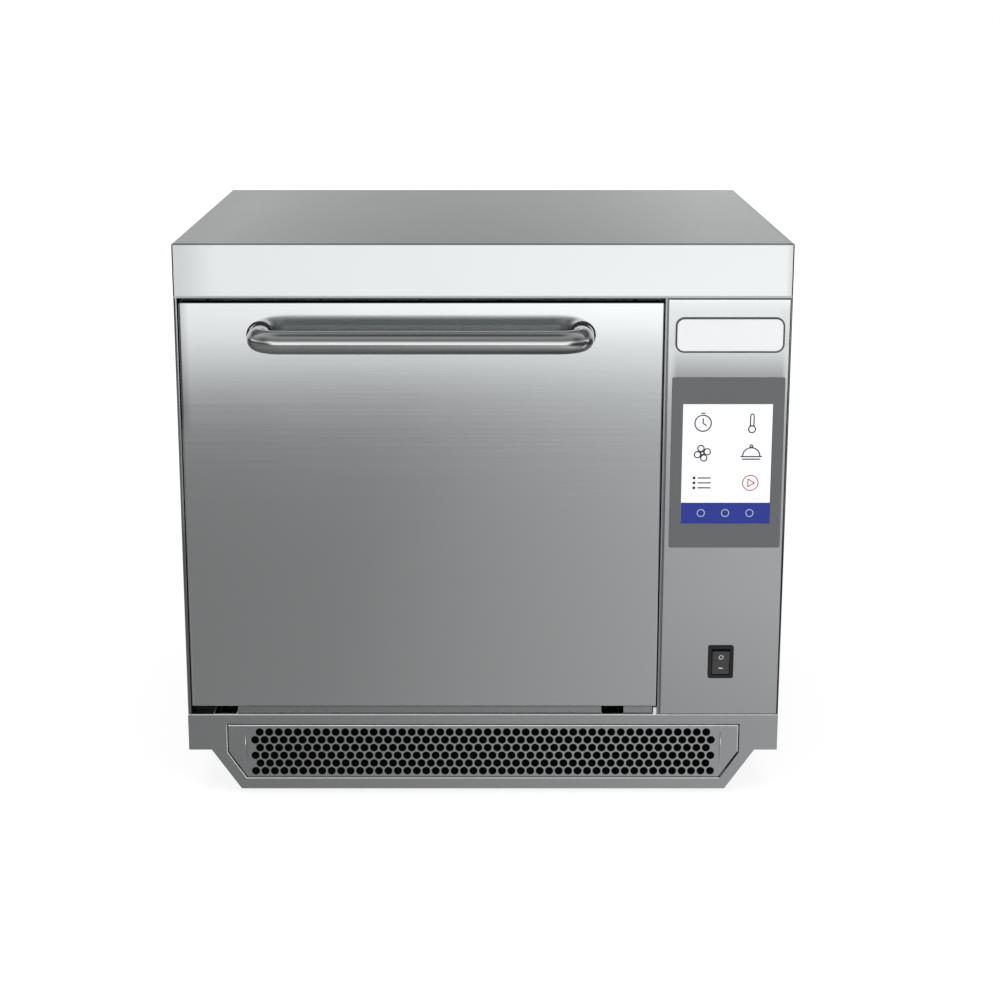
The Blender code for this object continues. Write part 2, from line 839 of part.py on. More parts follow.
def door_inner_panel():
    bm = bmesh.new()
    start = front + door_skin_depth + fit
    corners = rectangle(door_left + door_inner_inset, door_right - door_inner_inset,
                        door_bottom + door_inner_inset, door_top - door_inner_inset)
    back = start + door_inner_depth
    face = bm.faces.new([bm.verts.new((x, back, z)) for x, z in reversed(corners)])
    bm.normal_update()
    for inward, out in ((choke_land, 0), (0, -choke_depth), (choke_width, 0), (0, choke_depth)):
        bmesh.ops.inset_individual(bm, faces=[face], thickness=inward, depth=out, use_even_offset=True)
    rim = [edge for edge in bm.edges if edge.is_boundary]
    folded = bmesh.ops.extrude_edge_only(bm, edges=rim)["geom"]
    moved = [item for item in folded if isinstance(item, bmesh.types.BMVert)]
    bmesh.ops.translate(bm, vec=(0, start - back, 0), verts=moved)
    bmesh.ops.recalc_face_normals(bm, faces=bm.faces)
    bm.normal_update()
    if face.normal.y < 0:
        bmesh.ops.reverse_faces(bm, faces=bm.faces)
    mesh = bpy.data.meshes.new("door_inner_panel")
    bm.to_mesh(mesh)
    bm.free()
    piece = thicken(place("door_inner_panel", mesh, brushed_steel), thin_sheet)
    for x in (hinge_left_x, hinge_right_x):
        half = arm_thickness / 2 + fit
        low = (x - half, start - overrun, door_bottom)
        high = (x + half, pivot_y + arm_outer_reach + fit, door_bottom + arm_foot_height)
        cut(piece, block("arm_slot", low, high))


def door_seal():
    margin = door_inner_inset + choke_land + thin_sheet + fit
    width = choke_width - (thin_sheet + fit) - (thin_sheet + fit)
    outer = rectangle(door_left + margin, door_right - margin, door_bottom + margin, door_top - margin)
    inner = offset_line(outer, width, True)
    end = frame_front - fit
    start = front + door_depth - choke_depth + fit
    plate("door_seal", [outer, inner], "XZ", start, end, white_plastic)


def door_handle():
    z = door_top - handle_drop
    half = handle_spacing / 2
    bar = front - handle_standoff
    points = [(door_centre_x - half, front - fit, z)]
    bend = arc((-half + handle_bend, bar + handle_bend), handle_bend, 180, 270, 6)
    points += [(door_centre_x + x, y, z) for x, y in bend]
    points += [(door_centre_x - x, y, z) for x, y in reversed(bend)]
    points.append((door_centre_x + half, front - fit, z))
    tube("door_handle", points, handle_radius, 4, polished_steel)


def handle_collar(name, x):
    bore = handle_radius + fit
    profile = [(bore, collar_height), (collar_radius - collar_chamfer, collar_height),
               (collar_radius, collar_height - collar_chamfer), (collar_radius, 0), (bore, 0)]
    turned(name, profile, (x, front - fit, door_top - handle_drop), (math.pi / 2, 0, 0), black_plastic)


def hinge_arm(name, x):
    """A gooseneck: down behind the sill, back, and up into the door's hollow."""
    foot_low = door_bottom + arm_foot_height
    foot_high = foot_low + arm_foot_depth
    inner_y = pivot_y + arm_inner_reach
    outer_y = pivot_y + arm_outer_reach
    skin = front + sheet + fit
    low = pivot_z - neck_drop
    neck_y = pivot_y + neck_front
    outline = arc((pivot_y, pivot_z), arm_boss_radius, arm_boss_start, arm_boss_end, 8)
    outline += [(neck_y, low + neck_height + neck_front), (neck_y, low + neck_chamfer),
                (neck_y + neck_chamfer, low), (outer_y - neck_chamfer, low), (outer_y, low + neck_chamfer),
                (outer_y, foot_high), (skin + arm_plate_depth, foot_high),
                (skin + arm_plate_depth, foot_low + arm_plate_height),
                (skin, foot_low + arm_plate_height), (skin, foot_low), (inner_y, foot_low),
                (inner_y, low + neck_height), (neck_y + neck_height, low + neck_height)]
    hole = circle((pivot_y, pivot_z), pin_radius + pin_clearance, 12)
    half = arm_thickness / 2
    piece = plate(name, [outline, hole], "YZ", x - half, x + half, zinc_steel)
    reach = cheek_gap / 2 - fit
    ring = [circle((pivot_y, pivot_z), arm_boss_radius - fit, 12), hole]
    join(piece, plate(f"{name}_boss", ring, "YZ", x - reach, x + reach))


def hinge_bracket(name, x):
    """Two cheeks with the pin's holes, a rear web and a ledge that anchors the spring."""
    top = sill_height - sheet - fit
    low = top - bracket_height
    nose = pivot_y - cheek_nose
    end = nose + bracket_depth
    step = front + slot_front + slot_depth - fit
    outline = [(pivot_y + cheek_step, low), (end, low), (end, top), (step, top),
               (step, sill_height - fit), (nose, sill_height - fit), (nose, pivot_z - cheek_nose_drop),
               (pivot_y + cheek_step, pivot_z - cheek_nose_drop)]
    hole = circle((pivot_y, pivot_z), pin_radius + pin_clearance, 12)
    inner = cheek_gap / 2
    outer = inner + sheet
    piece = plate(name, [outline, hole], "YZ", x - outer, x - inner, zinc_steel)
    join(piece, plate(f"{name}_cheek", [outline, hole], "YZ", x + inner, x + outer))
    edge = outer - sheet / 2
    join(piece, block(f"{name}_web", (x - edge, end - sheet - fit, low + fit),
                      (x + edge, end - fit, top - fit)))
    join(piece, block(f"{name}_ledge", (x - edge, end - ledge_reach, low + fit),
                      (x + edge, end - sheet, low + fit + sheet)))


def hinge_pin(name, x):
    half = cheek_gap / 2 + sheet + fit
    profile = [(0, half + pin_head_length), (pin_head_radius, half + pin_head_length),
               (pin_head_radius, half), (pin_radius, half), (pin_radius, -half), (0, -half)]
    turned(name, profile, (x, pivot_y, pivot_z), (0, math.pi / 2, 0), zinc_steel, 12)


def door_spring(name, x):
    """A wound extension spring from the bracket's ledge up to the arm's neck."""
    low = sill_height - sheet - fit - bracket_height + fit + sheet + fit
    high = pivot_z - neck_drop - fit
    y = front + spring_inset
    lead = spring_wire + spring_wire
    coil_low, coil_high = low + lead + lead, high - lead - lead
    points = [(x, y, low), (x, y, low + lead)]
    for i in range(spring_turns * spring_steps + 1):
        angle = math.tau * i / spring_steps
        share = i / (spring_turns * spring_steps)
        points.append((x + spring_radius * math.cos(angle), y + spring_radius * math.sin(angle),
                       coil_low + (coil_high - coil_low) * share))
    points += [(x, y, high - lead), (x, y, high)]
    rise = (coil_high - coil_low) / spring_turns
    print(name, "gap between turns", round((rise - spring_wire - spring_wire) / mm, 2), "mm")
    tube(name, points, spring_wire, 1, spring_steel)


# Front frame, divider and controls
def front_frame():
    outline = rectangle(left + sheet + fit, divider_left - fit, sill_height + fit, panel_top)
    mouth = rectangle(mouth_left, mouth_right, mouth_bottom, mouth_top)
    plate("front_frame", [outline, mouth], "XZ", frame_front, frame_front + sheet, brushed_steel)


def divider_wall():
    guide_top = sill_height + fit + guide_height + fit + fit
    start = guide_y - guide_width / 2 - fit - fit
    end = guide_y + guide_width / 2 + fit + fit
    low = sill_height + fit
    outline = [(front + fit, low), (start, low), (start, guide_top), (end, guide_top), (end, low),
               (lip_front, low), (lip_front, panel_top), (front + fit, panel_top)]
    plate("divider_wall", [outline], "YZ", divider_left, divider_right, brushed_steel)


def control_fascia():
    low = (fascia_left, front, sill_height + fascia_bottom_gap)
    high = (fascia_right, front + fascia_depth, casing_height - band_height - fascia_top_gap)
    piece = tray("control_fascia", low, high, thin_sheet, "+Y", brushed_steel, fascia_fold_radius)
    x = controls_centre_x
    screen_z = casing_height - screen_drop
    half_x = screen_width / 2 + window_margin
    half_z = screen_height / 2 + window_margin
    cut(piece, block("screen_window", (x - half_x, front - overrun, screen_z - half_z),
                     (x + half_x, front + overrun, screen_z + half_z)))
    switch_z = sill_height + switch_rise
    half_x = switch_width / 2 - switch_body_margin + fit
    half_z = switch_height / 2 - switch_body_margin + fit
    cut(piece, block("switch_window", (x - half_x, front - overrun, switch_z - half_z),
                     (x + half_x, front + overrun, switch_z + half_z)))


def badge_plate():
    x, z = controls_centre_x, casing_height - badge_drop
    outline = rounded(x - badge_width / 2, x + badge_width / 2, z - badge_height / 2,
                      z + badge_height / 2, badge_corner)
    plate("badge_plate", [outline], "XZ", front - fit - badge_thickness, front - fit, white_plastic)


def display():
    x, z = controls_centre_x, casing_height - bezel_drop
    outline = rounded(x - bezel_width / 2, x + bezel_width / 2, z - bezel_height / 2,
                      z + bezel_height / 2, bezel_corner, 2)
    screen_z = casing_height - screen_drop
    half_x, half_z = screen_width / 2, screen_height / 2
    window = rectangle(x - half_x, x + half_x, screen_z - half_z, screen_z + half_z)
    plate("display_bezel", [outline, window], "XZ", front - fit - bezel_thickness, front - fit,
          grey_plastic)
    glass = rectangle(x - half_x + fit, x + half_x - fit, screen_z - half_z + fit,
                      screen_z + half_z - fit)
    start = front - bezel_thickness
    end = start + screen_thickness
    plate("touch_screen", [glass], "XZ", start, end, screen_glass)
    low = (x - board_width / 2, end + fit, screen_z - board_height / 2)
    high = (x + board_width / 2, end + fit + board_thickness, screen_z + board_height / 2)
    board = block("control_board", low, high, circuit_green)
    back = high[1]
    spots = [(share_x * board_width, share_z * board_height) for share_x, share_z in chip_shares]
    chips = [((x + a - chip_size / 2, back - board_thickness / 2, screen_z + b - chip_size / 2),
              (x + a + chip_size / 2, back + chip_thickness, screen_z + b + chip_size / 2))
             for a, b in spots]
    join(board, blocks("chips", chips))


def rocker_outline():
    """The rocker's side view in depth and height about its pivot, lying level."""
    rise = rocker_centre + rocker_rise
    return [(-rocker_centre, 0), (-rise, rocker_half), (-rocker_cheek, rocker_half - fit),
            (rocker_heel_drop, rocker_heel), (rocker_keel, 0), (rocker_heel_drop, -rocker_heel),
            (-rocker_cheek, -rocker_half + fit), (-rise, -rocker_half)]


def power_switch():
    x, z = controls_centre_x, sill_height + switch_rise
    outline = rounded(x - switch_width / 2, x + switch_width / 2, z - switch_height / 2,
                      z + switch_height / 2, switch_corner, 3)
    face = front - fit - switch_flange
    piece = plate("switch_housing", [outline], "XZ", face, front - fit, black_plastic)
    half_x = switch_width / 2 - switch_body_margin
    half_z = switch_height / 2 - switch_body_margin
    join(piece, block("switch_body", (x - half_x, front - fit - fit, z - half_z),
                      (x + half_x, front + switch_depth, z + half_z)))
    pocket_x = rocker_width / 2 + fit
    pocket_z = rocker_half + rocker_cheek - fit
    floor = front + rocker_pivot_inset + rocker_keel + rocker_cheek
    cut(piece, block("switch_pocket", (x - pocket_x, face - overrun, z - pocket_z),
                     (x + pocket_x, floor, z + pocket_z)))
    turn = Matrix.Rotation(math.radians(rocker_tilt), 2)
    pivot = Vector((front + rocker_pivot_inset, z))
    side_view = [tuple(pivot + turn @ Vector(point)) for point in rocker_outline()]
    half = rocker_width / 2
    plate("power_rocker", [side_view], "YZ", x - half, x + half, black_plastic)


# Cavity and its fittings
def cavity_liner():
    wall = thin_sheet
    outer = rectangle(mouth_left - wall, mouth_right + wall, mouth_bottom - wall, mouth_top + wall)
    inner = rectangle(mouth_left, mouth_right, mouth_bottom, mouth_top)
    start = liner_front + wall + fit
    piece = plate("cavity_liner", [outer, inner], "XZ", start, liner_rear - fit, brushed_steel)
    half = guide_mouth / 2
    cut(piece, block("wave_mouth", (cavity_x - half, guide_y - half, mouth_bottom - overrun),
                     (cavity_x + half, guide_y + half, mouth_bottom + fit)))


def cavity_flange():
    wide = flange_width
    ring = [rectangle(mouth_left - wide, mouth_right + wide, mouth_bottom - wide, mouth_top + wide),
            rectangle(mouth_left, mouth_right, mouth_bottom, mouth_top)]
    plate("cavity_flange", ring, "XZ", liner_front, liner_front + thin_sheet, brushed_steel)


def cavity_rear_wall():
    wall = thin_sheet
    loops = [rectangle(mouth_left - wall, mouth_right + wall, mouth_bottom - wall, mouth_top + wall),
             circle((cavity_x, cavity_z), wall_hole_radius, 16),
             circle((cavity_x, steam_height), steam_radius - steam_wall, 16)]
    plate("cavity_rear_wall", loops, "XZ", liner_rear, liner_rear + wall, brushed_steel)


def cavity_floor_tile():
    low = (mouth_left + fit, liner_front + overrun, mouth_bottom + fit + fit)
    high = (mouth_right - fit, diffuser_front - fit, mouth_bottom + fit + fit + floor_tile)
    block("cavity_floor_tile", low, high, ceramic)


def rack_runner(name, sign):
    wall = mouth_width / 2 - fit
    level = mouth_bottom + runner_level
    path = [(wall, level + runner_height), (wall, level), (wall - runner_ledge, level),
            (wall - runner_ledge, level - runner_lip)]
    outline = [(cavity_x + sign * a, b) for a, b in bent_sheet(path, -thin_sheet)]
    start = liner_front + runner_inset
    plate(name, [outline], "XZ", start, start + runner_length, brushed_steel)


def wire_rack():
    z = mouth_bottom + runner_level + thin_sheet + fit + rack_wire
    start = liner_front + rack_inset
    half = rack_width / 2 - rack_wire
    low = start + rack_wire
    high = start + rack_depth - rack_wire
    loop = rounded(cavity_x - half, cavity_x + half, low, high, rack_corner, 3)
    piece = ring("wire_rack", [(x, y, z) for x, y in loop], rack_wire, 1, polished_steel)
    bm = bmesh.new()
    for i in range(rack_bars):
        x = cavity_x + (i - (rack_bars - 1) / 2) * (half + half - rack_corner) / rack_bars
        matrix = (Matrix.Translation((x, (low + high) / 2, z + rack_wire))
                  @ Matrix.Rotation(math.pi / 2, 4, "X"))
        bmesh.ops.create_cone(bm, cap_ends=True, segments=6, radius1=rack_bar, radius2=rack_bar,
                              depth=high - low, matrix=matrix)
    join(piece, place("rack_bars", mesh_of("rack_bars", bm)))


def air_diffuser():
    outline = rectangle(mouth_left + fit, mouth_right - fit, mouth_bottom + fit, mouth_top - fit)
    loops = [outline]
    for i in range(grille_slots):
        rise = (i - (grille_slots - 1) / 2) * grille_pitch
        half = math.sqrt(grille_radius ** 2 - rise ** 2)
        z = cavity_z + rise
        loops.append(rectangle(cavity_x - half, cavity_x + half, z - grille_slot / 2, z + grille_slot / 2))
    step = (mouth_height - outlet_inset - outlet_inset) / outlet_slots
    for sign in (-1, 1):
        middle = cavity_x + sign * (mouth_width / 2 - outlet_inset)
        for i in range(outlet_slots):
            z = mouth_bottom + outlet_inset + (i + 0.5) * step
            loops.append(rectangle(middle - outlet_length / 2, middle + outlet_length / 2,
                                   z - grille_slot / 2, z + grille_slot / 2))
    piece = folded_panel("air_diffuser", loops, [0] * len(loops), diffuser_front, brushed_steel)
    thicken(piece, thin_sheet)


def insulation():
    gap = thin_sheet + fit
    outer = gap + insulation_thickness
    start = liner_front + thin_sheet + fit
    low = (mouth_left - outer, start, mouth_bottom - outer)
    high = (mouth_right + outer, wrap_rear, mouth_top + outer)
    piece = tray("insulation", low, high, insulation_thickness, "-Y", wool)
    half = guide_mouth / 2
    cut(piece, block("wave_path", (cavity_x - half, guide_y - half, low[2] - overrun),
                     (cavity_x + half, guide_y + half, mouth_bottom)))
    for name, z, radius in (("shaft_path", cavity_z, wall_hole_radius),
                            ("steam_path", steam_height, steam_radius + steam_clearance)):
        cut(piece, rod(name, radius, (cavity_x, liner_rear, z), (cavity_x, wrap_rear + overrun, z)))


# Hot air
def convection_fan():
    disc = diffuser_front + thin_sheet + fan_gap
    back = disc + fan_blade_height
    axis_point = (cavity_x, disc, cavity_z)
    piece = rod("convection_fan", fan_radius, (cavity_x, back, cavity_z),
                (cavity_x, back + fan_blade_thickness, cavity_z), brushed_steel, 32)
    bm = bmesh.new()
    middle = (fan_radius + fan_hub_radius) / 2
    for i in range(fan_blades):
        verts = cuboid(bm, (-fan_blade_length / 2, disc, -fan_blade_thickness / 2),
                       (fan_blade_length / 2, back + fan_blade_thickness / 2, fan_blade_thickness / 2))
        place_blade = (Matrix.Translation((axis_point[0], 0, axis_point[2]))
                       @ Matrix.Rotation(math.tau * i / fan_blades, 4, "Y")
                       @ Matrix.Translation((middle, 0, 0))
                       @ Matrix.Rotation(math.radians(fan_blade_lean), 4, "Y"))
        bmesh.ops.transform(bm, matrix=place_blade, verts=verts)
    join(piece, place("fan_blades", mesh_of("fan_blades", bm)))
    join(piece, rod("fan_hub", fan_hub_radius, (cavity_x, disc + fan_blade_thickness, cavity_z),
                    (cavity_x, back + fan_blade_thickness / 2, cavity_z), None, 16))
    join(piece, rod("fan_shaft", shaft_radius, (cavity_x, back, cavity_z),
                    (cavity_x, wrap_rear + motor_bore - shaft_clearance, cavity_z)))


def convection_motor():
    start = wrap_rear + fit
    half = motor_plate / 2
    piece = block("convection_motor", (cavity_x - half, start, cavity_z - half),
                  (cavity_x + half, start + sheet, cavity_z + half), zinc_steel)
    join(piece, rod("motor_body", motor_radius, (cavity_x, start + sheet / 2, cavity_z),
                    (cavity_x, start + motor_length, cavity_z), None, 24))
    cut(piece, rod("motor_bore", shaft_radius + shaft_clearance, (cavity_x, start - overrun, cavity_z),
                   (cavity_x, wrap_rear + motor_bore, cavity_z)))


def heater_element():
    """A sheathed element wound round the fan, with both ends at the cavity's rear wall."""
    start = diffuser_front + thin_sheet + heater_gap
    end = liner_rear - fit
    points = []
    for i in range(heater_turns * heater_steps + 1):
        angle = math.radians(heater_start) + math.tau * i / heater_steps
        y = start + heater_pitch * i / heater_steps
        points.append((cavity_x + heater_radius * math.cos(angle), y,
                       cavity_z + heater_radius * math.sin(angle)))
    last = points[-1]
    points += [(last[0], last[1] + heater_lead, last[2]), (last[0], end, last[2])]
    first = points[0]
    outward = Vector((first[0] - cavity_x, 0, first[2] - cavity_z)).normalized() * heater_lead
    near = Vector(first) + outward + Vector((0, heater_tube, 0))
    points = [(near.x, end, near.z), tuple(near)] + points
    print("heater gap between turns", round((heater_pitch - heater_tube - heater_tube) / mm, 2), "mm")
    tube("heater_element", points, heater_tube, 1, zinc_steel)


def catalytic_converter():
    start = diffuser_front + thin_sheet + fit
    half = catalyst_width / 2
    low = mouth_top - fit - catalyst_height
    piece = block("catalytic_converter", (cavity_x - half, start, low),
                  (cavity_x + half, start + catalyst_depth, mouth_top - fit), zinc_steel)
    step = (catalyst_width - catalyst_rim - catalyst_rim) / catalyst_slots
    slots = []
    for i in range(catalyst_slots):
        x = cavity_x - half + catalyst_rim + (i + 0.5) * step
        slots.append(((x - catalyst_slot / 2, start - overrun, low + catalyst_rim),
                      (x + catalyst_slot / 2, start + catalyst_depth + overrun,
                       mouth_top - fit - catalyst_rim)))
    cut(piece, blocks("catalyst_slots", slots))


# Microwave source
def waveguide():
    low = (guide_left, guide_y - guide_width / 2, sill_height + fit)
    high = (guide_right, guide_y + guide_width / 2, sill_height + fit + guide_height)
    piece = block("waveguide", low, high, aluminium)
    wall = thin_sheet
    cut(piece, block("guide_hollow", tuple(a + wall for a in low), tuple(b - wall for b in high)))
    half = guide_mouth / 2
    cut(piece, block("guide_mouth", (cavity_x - half, guide_y - half, high[2] - overrun),
                     (cavity_x + half, guide_y + half, high[2] + overrun)))
    cut(piece, rod("antenna_hole", antenna_radius + fit, (bay_centre_x, guide_y, high[2] - overrun),
                   (bay_centre_x, guide_y, high[2] + overrun)))
    cut(piece, rod("stirrer_hole", stirrer_shaft + shaft_clearance,
                   (cavity_x, guide_y, low[2] - overrun), (cavity_x, guide_y, low[2] + overrun)))


def magnetron():
    base = sill_height + fit + guide_height + fit
    x, half_x, half_y = bay_centre_x, magnetron_width / 2, magnetron_depth / 2
    wall = magnetron_frame
    top = base + magnetron_height
    outer = rectangle(x - half_x, x + half_x, base, top)
    inner = rectangle(x - half_x + wall, x + half_x - wall, base + wall, top - wall)
    piece = plate("magnetron", [outer, inner], "XZ", guide_y - half_y, guide_y + half_y, aluminium)
    core = magnetron_core / 2
    join(piece, block("anode", (x - core, guide_y - core, base + wall / 2),
                      (x + core, guide_y + core, top - wall / 2)))
    step = (magnetron_height - wall - wall) / (magnetron_fins + 1)
    fins = []
    for i in range(magnetron_fins):
        z = base + wall + (i + 1) * step
        fins.append(((x - half_x + wall / 2, guide_y - half_y + wall, z - magnetron_fin / 2),
                     (x + half_x - wall / 2, guide_y + half_y - wall, z + magnetron_fin / 2)))
    join(piece, blocks("cooling_fins", fins))
    join(piece, rod("antenna", antenna_radius, (x, guide_y, base - antenna_length),
                    (x, guide_y, base + wall / 2)))


def mode_stirrer():
    base = sill_height + stirrer_lift
    piece = rod("mode_stirrer", stirrer_hub, (cavity_x, guide_y, base - stirrer_hub),
                (cavity_x, guide_y, base + stirrer_hub), aluminium)
    bm = bmesh.new()
    for i in range(stirrer_blades):
        verts = cuboid(bm, (0, -stirrer_blade / 2, -stirrer_thickness / 2),
                       (stirrer_radius, stirrer_blade / 2, stirrer_thickness / 2))
        spot = (Matrix.Translation((cavity_x, guide_y, base))
                @ Matrix.Rotation(math.tau * i / stirrer_blades, 4, "Z")
                @ Matrix.Translation((stirrer_hub / 2, 0, 0))
                @ Matrix.Rotation(math.radians(stirrer_pitch), 4, "X"))
        bmesh.ops.transform(bm, matrix=spot, verts=verts)
    join(piece, place("stirrer_blades", mesh_of("stirrer_blades", bm)))
    motor_top = sill_height - sheet - fit
    join(piece, rod("stirrer_shaft", stirrer_shaft,
                    (cavity_x, guide_y, motor_top - stirrer_bore + shaft_clearance),
                    (cavity_x, guide_y, base)))


def stirrer_motor():
    top = sill_height - sheet - fit
    piece = rod("stirrer_motor", stirrer_motor_radius, (cavity_x, guide_y, top - stirrer_motor_height),
                (cavity_x, guide_y, top), zinc_steel, 24)
    cut(piece, rod("stirrer_motor_bore", stirrer_shaft + shaft_clearance,
                   (cavity_x, guide_y, top - stirrer_bore), (cavity_x, guide_y, top + overrun)))


# Power supply
def transformer():
    x, base = bay_centre_x, sill_height + fit
    y = front + transformer_inset
    half = transformer_width / 2
    piece = block("transformer", (x - half, y, base),
                  (x + half, y + transformer_depth, base + transformer_height), zinc_steel)
    half = coil_width / 2
    middle = base + transformer_height / 2
    join(piece, block("coil", (x - half, y - coil_reach, middle - coil_height / 2),
                      (x + half, y + transformer_depth + coil_reach, middle + coil_height / 2)))


def capacitor():
    x, y, base = bay_centre_x, front + capacitor_inset, sill_height + fit
    half_x, half_y = capacitor_length / 2, capacitor_width / 2
    outline = rounded(x - half_x, x + half_x, y - half_y, y + half_y, half_y - fit, 4)
    top = base + capacitor_height
    piece = plate("capacitor", [outline], "XY", base, top, aluminium)
    half_x, half_y = terminal_size / 2, terminal_thickness / 2
    for sign in (-1, 1):
        middle = x + sign * terminal_spacing / 2
        join(piece, block("terminal", (middle - half_x, y - half_y, top - half_x),
                          (middle + half_x, y + half_y, top + terminal_height)))


# Cooling fan
def cooling_fan():
    x, z = cooler_centre_x, cooler_centre_height
    end = rear - sheet - fit
    start = end - cooler_depth
    half = cooler_size / 2
    outline = rectangle(x - half, x + half, z - half, z + half)
    piece = plate("cooling_fan_housing", [outline, circle((x, z), cooler_bore, 24)], "XZ", start, end,
                  black_plastic)
    arm = cooler_bore + cooler_strut / 2
    bar = cooler_strut / 2
    struts = block("strut_across", (x - arm, start + fit, z - bar), (x + arm, start + cooler_plate, z + bar))
    join(struts, block("strut_up", (x - bar, start + fit, z - arm), (x + bar, start + cooler_plate, z + arm)))
    join(struts, rod("hub_plate", cooler_hub_radius, (x, start + fit, z), (x, start + cooler_plate, z),
                     None, 16))
    join(piece, struts)
    motor_start = start + cooler_plate + fit
    motor_end = motor_start + cooler_motor_length
    motor = rod("cooling_fan_motor", cooler_motor_radius, (x, motor_start, z), (x, motor_end, z),
                zinc_steel, 16)
    cut(motor, rod("cooler_motor_bore", cooler_shaft + shaft_clearance,
                   (x, motor_end - cooler_shaft_length, z), (x, motor_end + overrun, z)))
    hub_start = motor_end + fit
    hub_end = hub_start + cooler_hub_length
    blades = rod("cooling_fan_blades", cooler_hub_radius, (x, hub_start, z), (x, hub_end, z),
                 black_plastic, 24)
    bm = bmesh.new()
    for i in range(cooler_blades):
        verts = cuboid(bm, (0, -cooler_blade_chord / 2, -cooler_blade_thickness / 2),
                       (cooler_blade_reach, cooler_blade_chord / 2, cooler_blade_thickness / 2))
        spot = (Matrix.Translation((x, (hub_start + hub_end) / 2, z))
                @ Matrix.Rotation(math.tau * i / cooler_blades, 4, "Y")
                @ Matrix.Translation((cooler_hub_radius - cooler_blade_thickness, 0, 0))
                @ Matrix.Rotation(math.radians(cooler_blade_pitch), 4, "X"))
        bmesh.ops.transform(bm, matrix=spot, verts=verts)
    join(blades, place("cooler_blades", mesh_of("cooler_blades", bm)))
    join(blades, rod("cooler_shaft", cooler_shaft,
                     (x, motor_end - cooler_shaft_length + shaft_clearance, z),
                     (x, hub_start + cooler_blade_thickness, z)))


# Rear fittings
def steam_outlet():
    length = rear + steam_reach - (liner_rear + thin_sheet + fit)
    bore = steam_radius - steam_wall
    collar = steam_reach - fit
    profile = [(bore, length), (steam_radius, length), (steam_radius, length - collar + steam_wall),
               (steam_flange, length - collar + steam_wall), (steam_flange, length - collar),
               (steam_radius, length - collar), (steam_radius, 0), (bore, 0)]
    centre = (cavity_x, liner_rear + thin_sheet + fit, steam_height)
    turned("steam_outlet", profile, centre, (-math.pi / 2, 0, 0), brushed_steel)


def cable_gland():
    """The gland's body, with a blind bore where a cord enters."""
    profile = [(0, gland_length), (gland_dome - gland_chamfer, gland_length),
               (gland_dome, gland_length - gland_bore), (gland_dome, gland_flange),
               (gland_radius, gland_flange), (gland_radius, 0), (0, 0)]
    x, y, z = centre = (entry_x, rear - entry_depth + fit, entry_height)
    piece = turned("cable_gland", profile, centre, (-math.pi / 2, 0, 0), black_plastic)
    cut(piece, rod("cord_bore", gland_bore, (x, y + gland_flange, z),
                   (x, y + gland_length + overrun, z), None, 32))


base_front_panel()
base_pan()
feet()
chassis_deck()
side_panel("left_side_panel", -1)
right_side_panel()
back_panel()
top_cover()
air_filter_panel()
air_filter_mat()
door_skin()
door_inner_panel()
door_seal()
door_handle()
handle_collar("handle_collar_left", door_centre_x - handle_spacing / 2)
handle_collar("handle_collar_right", door_centre_x + handle_spacing / 2)
for side_name, hinge_x in (("left", hinge_left_x), ("right", hinge_right_x)):
    hinge_arm(f"hinge_arm_{side_name}", hinge_x)
    hinge_bracket(f"hinge_bracket_{side_name}", hinge_x)
    hinge_pin(f"hinge_pin_{side_name}", hinge_x)
    door_spring(f"door_spring_{side_name}", hinge_x)
front_frame()
divider_wall()
control_fascia()
badge_plate()
display()
power_switch()
cavity_liner()
cavity_flange()
cavity_rear_wall()
cavity_floor_tile()
rack_runner("rack_runner_left", -1)
rack_runner("rack_runner_right", 1)
wire_rack()
air_diffuser()
insulation()
convection_fan()
convection_motor()
heater_element()
catalytic_converter()
waveguide()
magnetron()
mode_stirrer()
stirrer_motor()
transformer()
capacitor()
cooling_fan()
steam_outlet()
cable_gland()
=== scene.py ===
import json
import math

import bmesh
import bpy
from mathutils import Matrix, Vector
from mathutils.bvhtree import BVHTree

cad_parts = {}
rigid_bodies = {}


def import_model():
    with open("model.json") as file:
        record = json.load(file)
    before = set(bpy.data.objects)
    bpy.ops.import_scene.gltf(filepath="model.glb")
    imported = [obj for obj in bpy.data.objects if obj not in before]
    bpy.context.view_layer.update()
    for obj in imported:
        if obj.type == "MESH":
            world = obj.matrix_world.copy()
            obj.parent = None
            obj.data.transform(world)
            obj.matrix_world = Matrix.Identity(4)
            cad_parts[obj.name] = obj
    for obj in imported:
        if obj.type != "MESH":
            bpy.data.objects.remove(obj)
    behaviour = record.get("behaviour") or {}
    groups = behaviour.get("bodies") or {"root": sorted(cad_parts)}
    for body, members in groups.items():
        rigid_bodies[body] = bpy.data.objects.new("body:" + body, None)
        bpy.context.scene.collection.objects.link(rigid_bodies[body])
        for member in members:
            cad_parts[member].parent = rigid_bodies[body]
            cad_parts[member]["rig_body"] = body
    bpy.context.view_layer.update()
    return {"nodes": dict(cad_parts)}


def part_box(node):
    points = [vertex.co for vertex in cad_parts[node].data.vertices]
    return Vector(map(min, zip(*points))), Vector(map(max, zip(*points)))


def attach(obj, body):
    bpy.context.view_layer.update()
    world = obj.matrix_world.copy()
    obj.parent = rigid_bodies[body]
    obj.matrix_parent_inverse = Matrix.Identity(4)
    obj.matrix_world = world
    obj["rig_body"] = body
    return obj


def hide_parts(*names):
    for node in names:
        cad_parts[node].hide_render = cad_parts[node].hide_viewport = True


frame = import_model()
nodes = frame["nodes"]
scene = bpy.context.scene
mm = 0.001
print("model loaded:", len(nodes), "nodes")


